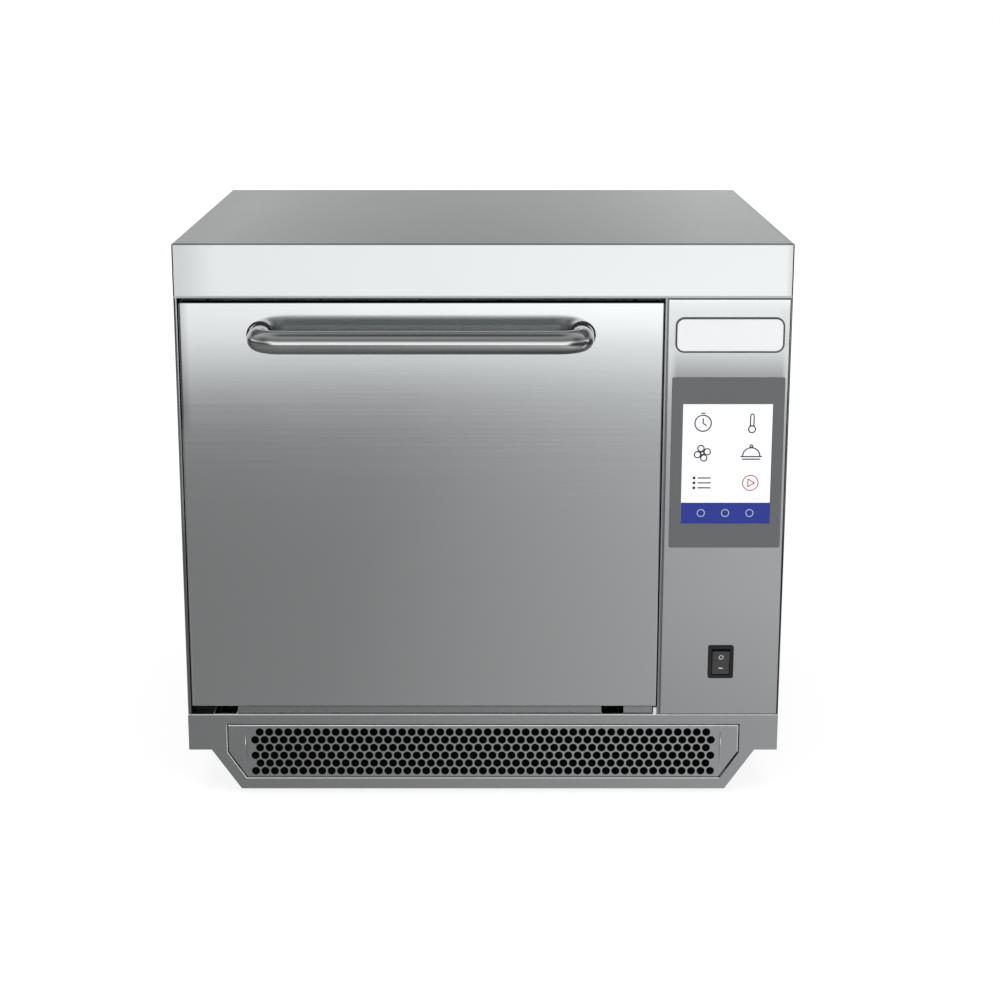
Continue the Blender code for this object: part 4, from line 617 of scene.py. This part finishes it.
# A round bar along a path, as a curve made into a mesh
def sweptRod(name, path, radius, sides, material, body):
    curve = bpy.data.curves.new(name, "CURVE")
    curve.dimensions = "3D"
    curve.bevel_depth = radius
    curve.bevel_resolution = sides // 2 - 2
    curve.use_fill_caps = True
    spline = curve.splines.new("POLY")
    spline.points.add(len(path) - 1)
    for point, place in zip(spline.points, path):
        point.co = (*place, 1)
    drawn = bpy.data.objects.new(name + "Path", curve)
    scene.collection.objects.link(drawn)
    bpy.context.view_layer.update()
    mesh = bpy.data.meshes.new_from_object(drawn.evaluated_get(bpy.context.evaluated_depsgraph_get()))
    bpy.data.objects.remove(drawn)
    bm = bmesh.new()
    bm.from_mesh(mesh)
    bpy.data.meshes.remove(mesh)
    mergeDoubles(bm)
    return newPiece(name, bm, material, body, 40)


handle = sweptRod("doorHandle", handlePath(), handleSettings["radius"], handleSettings["sides"], handleTube, "door")
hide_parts("door_handle")

collarSettings = {"bore": 11.2 * mm, "rim": 13 * mm, "height": 3 * mm, "round": 0.9 * mm, "steps": 48}
s = collarSettings
profile = [(s["bore"], 0), (s["rim"], 0), (s["rim"], -s["height"] + s["round"]),
           (s["rim"] - s["round"], -s["height"]), (s["bore"], -s["height"])]
for side, outward in (("left", -handleSettings["wider"]), ("right", handleSettings["wider"])):
    low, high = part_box(f"handle_collar_{side}")
    bm = bmesh.new()
    verts = [bm.verts.new((r, y, 0)) for r, y in profile]
    edges = [bm.edges.new((a, b)) for a, b in zip(verts, verts[1:] + verts[:1])]
    bmesh.ops.spin(bm, geom=verts + edges, cent=(0, 0, 0), axis=(0, 1, 0), angle=math.tau,
                   steps=s["steps"], use_merge=True)
    mergeDoubles(bm)
    bmesh.ops.translate(bm, vec=((low.x + high.x) / 2 + outward, high.y,
                                 (low.z + high.z) / 2 - handleSettings["lower"]), verts=bm.verts)
    collar = newPiece(f"handleCollar{side.title()}", bm, collarRubber, "door", 30)
    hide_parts(f"handle_collar_{side}")

# Shares of a screw head's radius and rise
screwShape = {"sides": 20, "top": 0.72, "recess": 0.34, "wall": 0.02, "recessDepth": 0.5}


# A pan head with a round recess that faces along out
def screwHead(bm, spot, out, radius, rise):
    s = screwShape
    turn = Vector((0, 0, 1)).rotation_difference(Vector(out)).to_matrix().to_4x4()
    matrix = Matrix.Translation(Vector(spot) + Vector(out) * rise / 2) @ turn
    made = bmesh.ops.create_cone(bm, cap_ends=True, segments=s["sides"], radius1=radius,
                                 radius2=radius * s["top"], depth=rise, matrix=matrix)["verts"]
    bm.normal_update()
    top = [f for f in bm.faces if f.normal.dot(Vector(out)) > 0.99 and all(v in made for v in f.verts)]
    bmesh.ops.inset_individual(bm, faces=top, thickness=radius * s["recess"], depth=0)
    bmesh.ops.inset_individual(bm, faces=top, thickness=radius * s["wall"], depth=-rise * s["recessDepth"])


def screwSet(name, spots, out, radius, rise, body):
    bm = bmesh.new()
    for spot in spots:
        screwHead(bm, spot, out, radius, rise)
    newPiece(name, bm, screwSteel, body, 30)


doorScrews = {"offsets": (-208 * mm, 0, 208 * mm), "depth": 23 * mm, "radius": 2.6 * mm, "rise": 1.2 * mm}
screwSet("doorScrews", [(doorMiddle + x, doorFront + doorScrews["depth"], doorTop) for x in doorScrews["offsets"]],
         (0, 0, 1), doorScrews["radius"], doorScrews["rise"], "door")

# Black strip behind the front fold of the door's top
topStrip = {"from": 1.2 * mm, "to": 12.5 * mm, "inset": 3 * mm, "height": 0.4 * mm, "sunk": 0.05 * mm}
s = topStrip
blocks("doorTopStrip", foam, s["from"], s["to"],
       [(doorLow.x + s["inset"], doorHigh.x - s["inset"], doorTop - s["sunk"], doorTop + s["height"])], 0.1 * mm,
       "door")
print("door done")


# Air filter with round holes, whose lower corners are cut at a slope
grille = {"radius": 4.15 * mm, "pitch": 9.65 * mm, "rows": 6, "longRow": 49, "centre": 45.45 * mm, "sides": 20,
          "sheet": 0.6 * mm, "fold": 6 * mm, "knee": 27.4 * mm, "slope": 18.9 * mm, "shine": 0.8 * mm}
left, right, low, high = filterLow.x, filterHigh.x, filterLow.z, filterHigh.z
kneeZ, slope = low + grille["knee"], grille["slope"]
outline = [(right, high), (left, high), (left, kneeZ), (left + slope, low), (right - slope, low), (right, kneeZ)]
bm = bmesh.new()
rim = [bm.verts.new((x, doorFront, z)) for x, z in outline]
rimEdges = [bm.edges.new((a, b)) for a, b in zip(rim, rim[1:] + rim[:1])]
allEdges = list(rimEdges)
for row in range(grille["rows"]):
    z = grille["centre"] + ((grille["rows"] - 1) / 2 - row) * grille["pitch"] * math.sin(math.radians(60))
    count = grille["longRow"] - (row + 1) % 2
    for i in range(count):
        x = (i - (count - 1) / 2) * grille["pitch"]
        ring = bmesh.ops.create_circle(bm, cap_ends=False, segments=grille["sides"], radius=grille["radius"],
                                       matrix=Matrix.Translation((x, doorFront, z)) @ upright)["verts"]
        allEdges += {edge for vert in ring for edge in vert.link_edges}
bmesh.ops.triangle_fill(bm, use_beauty=True, edges=allEdges)
folded = bmesh.ops.extrude_edge_only(bm, edges=rimEdges)["geom"]
bmesh.ops.translate(bm, vec=(0, grille["fold"], 0), verts=[v for v in folded if isinstance(v, bmesh.types.BMVert)])
bmesh.ops.recalc_face_normals(bm, faces=bm.faces)
bm.normal_update()
largest = max(bm.faces, key=lambda f: abs(f.normal.y) * f.calc_area())
if largest.normal.y > 0:
    bmesh.ops.reverse_faces(bm, faces=bm.faces)
foldEdges = [e for e in bm.edges if len(e.link_faces) == 2 and e.calc_face_angle(0) > 1.2]
# The folds get a painted highlight or painted shade by the way they face
made = bevelEdges(bm, foldEdges, grille["shine"], 2)
bm.normal_update()
paintedLitOrShaded(made)
filterFace = newPiece("filterFace", bm, steelSkirt, "air_filter", 0)
for extra in (steelPaintedHighlight, steelPaintedShade, foam):
    filterFace.data.materials.append(extra)
wall = filterFace.modifiers.new("wall", "SOLIDIFY")
wall.thickness = grille["sheet"]
wall.offset = -1
# The inner faces of the sheet are black foam, painted shade
wall.material_offset = 3
wall.material_offset_rim = 3
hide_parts("air_filter_panel")

# Bowed pull tabs, each the cap of a disc that stands upright
tabs = {"x": 241 * mm, "centre": 47.5 * mm, "reach": 5 * mm, "arc": 40.5 * mm, "sheet": 1.1 * mm, "sides": 120}
bm = bmesh.new()
for side in (-1, 1):
    centre = Vector((side * tabs["x"], doorFront + tabs["arc"] - tabs["reach"], tabs["centre"]))
    bmesh.ops.create_cone(bm, cap_ends=True, segments=tabs["sides"], radius1=tabs["arc"], radius2=tabs["arc"],
                          depth=tabs["sheet"], matrix=Matrix.Translation(centre) @ Matrix.Rotation(math.pi / 2, 4, "Y"))
bmesh.ops.bisect_plane(bm, geom=bm.verts[:] + bm.edges[:] + bm.faces[:], plane_co=(0, doorFront, 0),
                       plane_no=(0, 1, 0), clear_outer=True)
bmesh.ops.holes_fill(bm, edges=[e for e in bm.edges if e.is_boundary], sides=0)
bm.normal_update()
for f in bm.faces:
    f.material_index = 1 if abs(f.normal.x) < 0.5 and f.normal.y < -0.2 else 0
pullTabs = newPiece("pullTabs", bm, steelSkirt, "air_filter", 180)
pullTabs.data.materials.append(polishedTube)
roundEdges(pullTabs, 0.4 * mm)

matLower = 1.9 * mm      # how far the mat's lower edge comes down to the panel's fold
filterMat = softened("air_filter_mat", foam, "filterMat", 0.3 * mm)
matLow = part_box("air_filter_mat")[0]
for vert in [v for v in filterMat.data.vertices if v.co.z < matLow.z + close]:
    vert.co.z -= matLower
print("air filter done")


# Controls
badge = {"rim": 1.5 * mm, "corner": 8.5 * mm, "recess": 0.35 * mm, "step": 0.15 * mm, "cornerSteps": 8,
         "faceArea": 0.002}
badgeRim = brushedMetal("badgeRim", (0.12, 0.13, 0.135), 0.3, (300, 300, 300))
bm = bmesh.new()
corners = [bm.verts.new((x, badgeLow.y, z)) for x, z in ((badgeLow.x, badgeLow.z), (badgeHigh.x, badgeLow.z),
                                                         (badgeHigh.x, badgeHigh.z), (badgeLow.x, badgeHigh.z))]
bm.faces.new(corners)
faceFront(bm)
bmesh.ops.bevel(bm, geom=corners, offset=badge["corner"], segments=badge["cornerSteps"], profile=0.5,
                affect="VERTICES", material=-1)
back = bmesh.ops.extrude_face_region(bm, geom=[max(bm.faces, key=lambda f: f.calc_area())])["geom"]
bmesh.ops.translate(bm, vec=(0, badgeHigh.y - badgeLow.y, 0),
                    verts=[v for v in back if isinstance(v, bmesh.types.BMVert)])
bmesh.ops.recalc_face_normals(bm, faces=bm.faces)
bm.normal_update()
frontFace = min(bm.faces, key=lambda f: (round(f.calc_center_median().y, 6), -f.calc_area()))
bmesh.ops.inset_individual(bm, faces=[frontFace], thickness=badge["rim"], depth=0)
bmesh.ops.inset_individual(bm, faces=[frontFace], thickness=badge["step"], depth=-badge["recess"])
badgePiece = newPiece("badgePlate", bm, badgeRim, "oven", 180)
badgePiece.data.materials.append(badgeWhite)
for polygon in badgePiece.data.polygons:
    if polygon.normal.y < -0.99 and polygon.area > badge["faceArea"]:
        polygon.material_index = 1
roundEdges(badgePiece, 0.3 * mm)
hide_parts("badge_plate")

softened("display_bezel", bezelGrey, "displayBezel", 0.2 * mm)
softened("touch_screen", displayWhite, "touchScreen", 0.15 * mm)

# Display with icons in two columns and three rows
display = {"proud": 0.1 * mm, "line": 1.15 * mm, "barHeight": 21 * mm, "column": 24 * mm, "top": 19 * mm,
           "row": 30 * mm, "keyLine": 0.9 * mm, "barKey": 3.6 * mm, "barLine": 0.8 * mm}
drawnFront = screenLow.y - display["proud"]
screenMiddle = (screenLow.x + screenHigh.x) / 2


# A flat circle line, or a disc where the line is as wide as its radius
def flatRing(bm, x, z, radius, line, sides, y=drawnFront):
    made = bmesh.ops.create_circle(bm, cap_ends=True, segments=sides, radius=radius + line / 2,
                                   matrix=Matrix.Translation((x, y, z)) @ upright)["verts"]
    if line < radius:
        disc = made[0].link_faces[0]
        bmesh.ops.inset_individual(bm, faces=[disc], thickness=line, depth=0)
        bmesh.ops.delete(bm, geom=[disc], context="FACES_ONLY")


def flatLine(bm, start, end, line):
    a, b = Vector(start), Vector(end)
    across = Vector((a.y - b.y, b.x - a.x)).normalized() * line / 2
    bm.faces.new([bm.verts.new((p.x, drawnFront, p.y)) for p in (a - across, b - across, b + across, a + across)])


# An icon is rings (x, z, radius and sides) and paths through points, in mm from its centre
def drawIcon(bm, column, row, rings, paths, line):
    x, z = screenMiddle + column * display["column"], screenHigh.z - display["top"] - row * display["row"]
    for ringX, ringZ, radius, sides in rings:
        flatRing(bm, x + ringX * mm, z + ringZ * mm, radius * mm, line, sides)
    for path in paths:
        points = [(x + pointX * mm, z + pointZ * mm) for pointX, pointZ in path]
        for a, b in zip(points, points[1:]):
            flatLine(bm, a, b, line)


def screenPiece(name, bm, material):
    faceFront(bm)
    newPiece(name, bm, material, "oven", 0)


bm = bmesh.new()
barMiddle = screenLow.z + display["barHeight"] / 2
flatLine(bm, (screenLow.x, barMiddle), (screenHigh.x, barMiddle), display["barHeight"])
screenPiece("screenBar", bm, displayBlue)

startIcon = [(0, 0, 7.6, 28)], [[(-2.4, 4), (4, 0), (-2.4, -4), (-2.4, 4)]]
timerIcon = [(0, 0, 8, 28)], [[(0, 5), (0, 0), (3.6, -2.4)], [(-2, 10), (2, 10)]]
heatIcon = [(0, -6, 3.4, 28)], [[(-1.7, -3), (-1.7, 8), (0, 9.6), (1.7, 8), (1.7, -3)]]
bladeTurns = [math.pi / 2 * i + 0.3 for i in range(4)]
fanIcon = [(0, 0, 1.6, 28)] + [(5 * math.cos(turn), 5 * math.sin(turn), 3.1, 18) for turn in bladeTurns], []
dome = [(8.5 * math.cos(math.pi * i / 14), 8.5 * math.sin(math.pi * i / 14) - 3) for i in range(15)]
dishIcon = [(0, 7, 1.3, 14)], [dome, [(-10.5, -3.4), (10.5, -3.4)], [(-9, -6), (9, -6)]]
listIcon = [(-7.5, z, 0.9, 12) for z in (5, 0, -5)], [[(-4, z), (9, z)] for z in (5, 0, -5)]
bm = bmesh.new()
for column, row, icon in ((-1, 0, timerIcon), (1, 0, heatIcon), (-1, 1, fanIcon), (1, 1, dishIcon), (-1, 2, listIcon)):
    drawIcon(bm, column, row, *icon, display["line"])
screenPiece("screenIcons", bm, displayLine)

bm = bmesh.new()
drawIcon(bm, 1, 2, *startIcon, display["keyLine"])
screenPiece("screenStartKey", bm, displayRed)

bm = bmesh.new()
for share in (-1, 0, 1):
    flatRing(bm, screenMiddle + share * display["column"], barMiddle, display["barKey"], display["barLine"], 24,
             drawnFront - display["proud"])
screenPiece("screenBarKeys", bm, displayPale)

# Switch with its two marks laid on the rocker's curved face
softened("switch_housing", blackPlastic, "switchHousing", 0.7 * mm, 3)
softened("power_rocker", rockerPlastic, "powerRocker", 0.5 * mm, 3)
marks = {"ring": 2.1 * mm, "line": 0.7 * mm, "ringUp": 5.6 * mm, "barDown": 6.4 * mm, "bar": 4.2 * mm,
         "barLine": 1 * mm, "proud": 0.1 * mm, "from": 100 * mm}
rockerMesh = mergedCopy("power_rocker")
rockerFace = BVHTree.FromBMesh(rockerMesh)
rockerMesh.free()
bm = bmesh.new()
switchX, switchZ = (switchLow.x + switchHigh.x) / 2, (switchLow.z + switchHigh.z) / 2
barZ = switchZ - marks["barDown"]
flatRing(bm, switchX, switchZ + marks["ringUp"], marks["ring"], marks["line"], 24)
flatLine(bm, (switchX - marks["bar"] / 2, barZ), (switchX + marks["bar"] / 2, barZ), marks["barLine"])
for vert in bm.verts:
    hit = rockerFace.ray_cast(Vector((vert.co.x, doorFront - marks["from"], vert.co.z)), Vector((0, 1, 0)))[0]
    vert.co.y = hit.y - marks["proud"]
faceFront(bm)
newPiece("rockerMarks", bm, markWhite, "rocker", 0)
print("controls done")


# Cavity
dress(steelCavity, "cavity_liner", "cavity_flange", "cavity_rear_wall", "rack_runner_left", "rack_runner_right",
      "air_diffuser", "convection_fan")
dress(tileCeramic, "cavity_floor_tile")
softened("wire_rack", rackWire, "wireRack", 0, smooth=65)
dress(heaterMetal, "catalytic_converter")
wool = softened("insulation", mineralWool, "insulationWool", 4 * mm, 3)
dress(aluminium, "waveguide", "magnetron", "mode_stirrer", "capacitor")
dress(boardGreen, "control_board")
dress(blackPlastic, "cooling_fan_housing", "cooling_fan_blades")
softened("steam_outlet", steelBase, "steamOutlet", 0.3 * mm)
softened("cable_gland", blackPlastic, "cableGland", 0.6 * mm)


# The turns of a winding, as two places across it and one along it
def winding(radius, turns, steps, start, end, first=0):
    count = turns * steps
    for i in range(count + 1):
        turn = first + math.tau * i / steps
        yield radius * math.cos(turn), radius * math.sin(turn), start + (end - start) * i / count


heater = {"radius": 89 * mm, "tube": 3.5 * mm, "turns": 3, "pitch": 9 * mm, "steps": 72, "start": 20,
          "lead": 10 * mm}
s = heater
heatLow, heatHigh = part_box("heater_element")
fanLow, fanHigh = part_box("convection_fan")
axisX, axisZ = (fanLow.x + fanHigh.x) / 2, (fanLow.z + fanHigh.z) / 2
firstY = heatLow.y + s["tube"]
turns = [Vector((axisX + x, y, axisZ + z)) for x, z, y in winding(
    s["radius"], s["turns"], s["steps"], firstY, firstY + s["turns"] * s["pitch"], math.radians(s["start"]))]
lead = Vector((turns[0].x - axisX, 0, turns[0].z - axisZ)).normalized() * s["lead"]
near, last = turns[0] + lead + Vector((0, s["tube"], 0)), turns[-1]
path = [Vector((near.x, heatHigh.y, near.z)), near, *turns, Vector((last.x, heatHigh.y, last.z))]
heaterCoil = sweptRod("heaterCoil", path, s["tube"], 12, heaterMetal, "oven")
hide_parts("heater_element")

spring = {"radius": 3.4 * mm, "wire": 0.6 * mm, "turns": 7, "steps": 24}
s, lead = spring, spring["wire"] * 2
for side in ("left", "right"):
    low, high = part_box(f"door_spring_{side}")
    x, y = (low.x + high.x) / 2, (low.y + high.y) / 2
    coil = [Vector((x + a, y + b, z))
            for a, b, z in winding(s["radius"], s["turns"], s["steps"], low.z + lead * 2, high.z - lead * 2)]
    ends = [Vector((x, y, z)) for z in (low.z, low.z + lead, high.z - lead, high.z)]
    wire = sweptRod(f"doorSpring{side.title()}", ends[:2] + coil + ends[2:], s["wire"], 8, springSteel, "oven")
    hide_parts(f"door_spring_{side}")
print("cavity and inside done")


# Screws of the rear panel and the cover
rearScrews = {"radius": 3.4 * mm, "rise": 1.8 * mm, "side": 285 * mm, "top": 500 * mm,
              "rows": (60 * mm, 170 * mm, 290 * mm, 410 * mm, 500 * mm), "topRow": (-150 * mm, 0, 130 * mm),
              "cover": (150 * mm, 540 * mm)}
s = rearScrews
spots = [(side * s["side"], backHigh.y, z) for z in s["rows"] for side in (-1, 1)]
spots += [(x, backHigh.y, s["top"]) for x in s["topRow"]]
screwSet("rearScrews", spots, (0, 1, 0), s["radius"], s["rise"], "oven")
coverX, coverZ = s["cover"]
screwSet("coverScrews", [(side * coverX, backHigh.y, coverZ) for side in (-1, 1)], (0, 1, 0), s["radius"], s["rise"],
         "oven")
print("fasteners done")


# Floor, background and lamps. Places on the floor are in metres. The camera sees a white floor with a soft shadow, and
# the metal mirrors a grey floor that is white far off in front.
floorTones = {
    "size": 30,
    "matte": 0.82,
    "shadow": 0.25,
    "lift": 0.09,
    "liftFrom": (0.8, 2.4),
    "near": 0.355,
    "edge": (2.38, 3.12),
    "farFrom": (2.9, 4.1),
    "farTones": [(0.0, 1.42), (0.3, 1.45), (0.6, 1.17), (1.0, 1.12)],
    "slant": (-0.8, 0.8, 0.96, 1.05),
    "side": (0.42, 0.72),
    "sideTone": 0.05,
    "across": (-1.2, 1.2),
    "acrossTones": [(0.0, 0.45), (0.2, 0.6), (0.32, 0.62), (0.42, 0.7), (0.5, 0.92), (0.6, 1.16), (0.75, 1.44),
                    (0.85, 0.7), (1.0, 0.15)],
}


# A ramp of greys, the first number of each pair its place and the second its tone
def toneRamp(tree, source, stops):
    ramp = addNode(tree, "ShaderNodeValToRGB", {0: source})
    places = ramp.color_ramp.elements
    while len(places) > 1:
        places.remove(places[-1])
    places[0].position, first = stops[0]
    places[0].color = (first, first, first, 1)
    for place, tone in stops[1:]:
        places.new(place).color = (tone, tone, tone, 1)
    return ramp.outputs[0]


# The floor's tones go above 1, so they are halved for the ramp and doubled after it
def halved(stops):
    return [(place, tone / 2) for place, tone in stops]


def makeFloor():
    t = floorTones
    material, tree, shader = newMaterial("paleFloor")
    tree.nodes.remove(shader)
    bm = bmesh.new()
    bmesh.ops.create_grid(bm, x_segments=2, y_segments=2, size=t["size"])
    newObject("floor", bm, material)
    rays = addNode(tree, "ShaderNodeLightPath").outputs
    where = addNode(tree, "ShaderNodeTexCoord").outputs["Object"]
    x = addNode(tree, "ShaderNodeSeparateXYZ", {0: where}).outputs["X"]
    length = addNode(tree, "ShaderNodeVectorMath", {0: where}, operation="LENGTH").outputs["Value"]

    def diffuse(tone):
        return addNode(tree, "ShaderNodeBsdfDiffuse", {"Color": (tone, tone, tone, 1)}).outputs[0]

    def glow(inputs):
        return addNode(tree, "ShaderNodeEmission", inputs).outputs[0]

    lift = glow({"Strength": mapRange(tree, length, *t["liftFrom"], 1 - t["shadow"] + t["lift"], 1)})
    white = addNode(tree, "ShaderNodeAddShader", {0: diffuse(t["shadow"]), 1: lift}).outputs[0]
    seen = mathNode(tree, "MAXIMUM", rays["Is Camera Ray"], rays["Is Transmission Ray"])
    pale = mixedShaders(tree, seen, diffuse(t["matte"]), white)

    aside = mathNode(tree, "ABSOLUTE", mathNode(tree, "DIVIDE", x, length))
    sides = mapRange(tree, aside, *t["side"], 1, t["sideTone"], True)
    lean = mapRange(tree, x, *t["slant"])
    twice = mathNode(tree, "MULTIPLY", mathNode(tree, "MULTIPLY", sides, lean), 2.0)
    along = mapRange(tree, length, *t["farFrom"], 0, 1)
    farTone = scaled(tree, toneRamp(tree, along, halved(t["farTones"])), twice)
    across = mapRange(tree, x, *t["across"], 0, 1)
    nearTone = scaled(tree, toneRamp(tree, across, halved(t["acrossTones"])), t["near"] * 2)
    far = mapRange(tree, length, *t["edge"], 0, 1, True)
    mirrored = glow({"Color": mixed(tree, far, nearTone, farTone)})
    both = mixedShaders(tree, rays["Is Glossy Ray"], pale, mirrored)
    tree.links.new(both, tree.nodes["Material Output"].inputs["Surface"])


makeFloor()

# Tones by the height of the direction, in front of the oven and behind it. In front it is darker straight to the sides,
# and behind it is lighter there, most to the right.
worldTones = {
    "matte": 0.55,
    "side": (0.55, 0.9),
    "sideTone": 0.3,
    "bowl": 24.0,
    "lean": 0.85,
    "most": 1.35,
    "turn": (-0.35, 0.35),
    "ahead": [(0.0, 1.0), (0.2, 0.95), (0.31, 0.42), (0.42, 0.24), (0.6, 0.19), (0.8, 0.27), (0.9, 0.3), (0.97, 0.12),
              (1.0, 0.07)],
    "behind": [(0.0, 0.72), (0.06, 0.54), (0.12, 0.36), (0.2, 0.2), (0.27, 0.14), (0.45, 0.3), (0.7, 0.35),
               (0.95, 0.2), (1.0, 0.07)],
}


def makeWorld():
    t = worldTones
    world = bpy.data.worlds.new("studio")
    world.use_nodes = True
    scene.world = world
    tree = world.node_tree
    white = tree.nodes["Background"]
    white.inputs["Color"].default_value = (1, 1, 1, 1)
    white.inputs["Strength"].default_value = 1.0
    rays = addNode(tree, "ShaderNodeLightPath").outputs
    where = addNode(tree, "ShaderNodeTexCoord").outputs["Generated"]
    x, y, z = addNode(tree, "ShaderNodeSeparateXYZ", {0: where}).outputs

    away = mapRange(tree, mathNode(tree, "ABSOLUTE", x), *t["side"], 1, t["sideTone"], True)
    ahead = scaled(tree, toneRamp(tree, z, t["ahead"]), away)
    bowl = mathNode(tree, "MULTIPLY_ADD", mathNode(tree, "MULTIPLY", x, x), t["bowl"], 1.0)
    lean = mathNode(tree, "MINIMUM", mathNode(tree, "MULTIPLY_ADD", x, t["lean"], bowl), t["most"])
    behind = scaled(tree, toneRamp(tree, z, t["behind"]), lean)
    both = mixed(tree, mapRange(tree, y, *t["turn"], 0, 1), ahead, behind)
    shiny = addNode(tree, "ShaderNodeBackground", {"Color": both}).outputs[0]
    dim = addNode(tree, "ShaderNodeBackground", {"Color": (1, 1, 1, 1), "Strength": t["matte"]}).outputs[0]
    soft = mixedShaders(tree, rays["Is Glossy Ray"], dim, shiny)
    last = mixedShaders(tree, rays["Is Camera Ray"], soft, white.outputs[0])
    tree.links.new(last, tree.nodes["World Output"].inputs["Surface"])


makeWorld()

lampAim = Vector((0, 0, 0.3))
lamps = [
    {"name": "overhead", "place": (0.0, -0.6, 2.6), "size": 2.4, "power": 22},
    {"name": "frontLeft", "place": (-1.8, -2.6, 1.9), "size": 1.6, "power": 18},
    {"name": "frontRight", "place": (2.0, -2.4, 1.7), "size": 1.6, "power": 18},
]
for lamp in lamps:
    data = bpy.data.lights.new(lamp["name"], "AREA")
    data.size = lamp["size"]
    data.energy = lamp["power"]
    item = bpy.data.objects.new(lamp["name"], data)
    item.location = lamp["place"]
    item.rotation_euler = (lampAim - Vector(lamp["place"])).to_track_quat("-Z", "Y").to_euler()
    item.visible_glossy = False
    scene.collection.objects.link(item)
print("stage and lamps done")
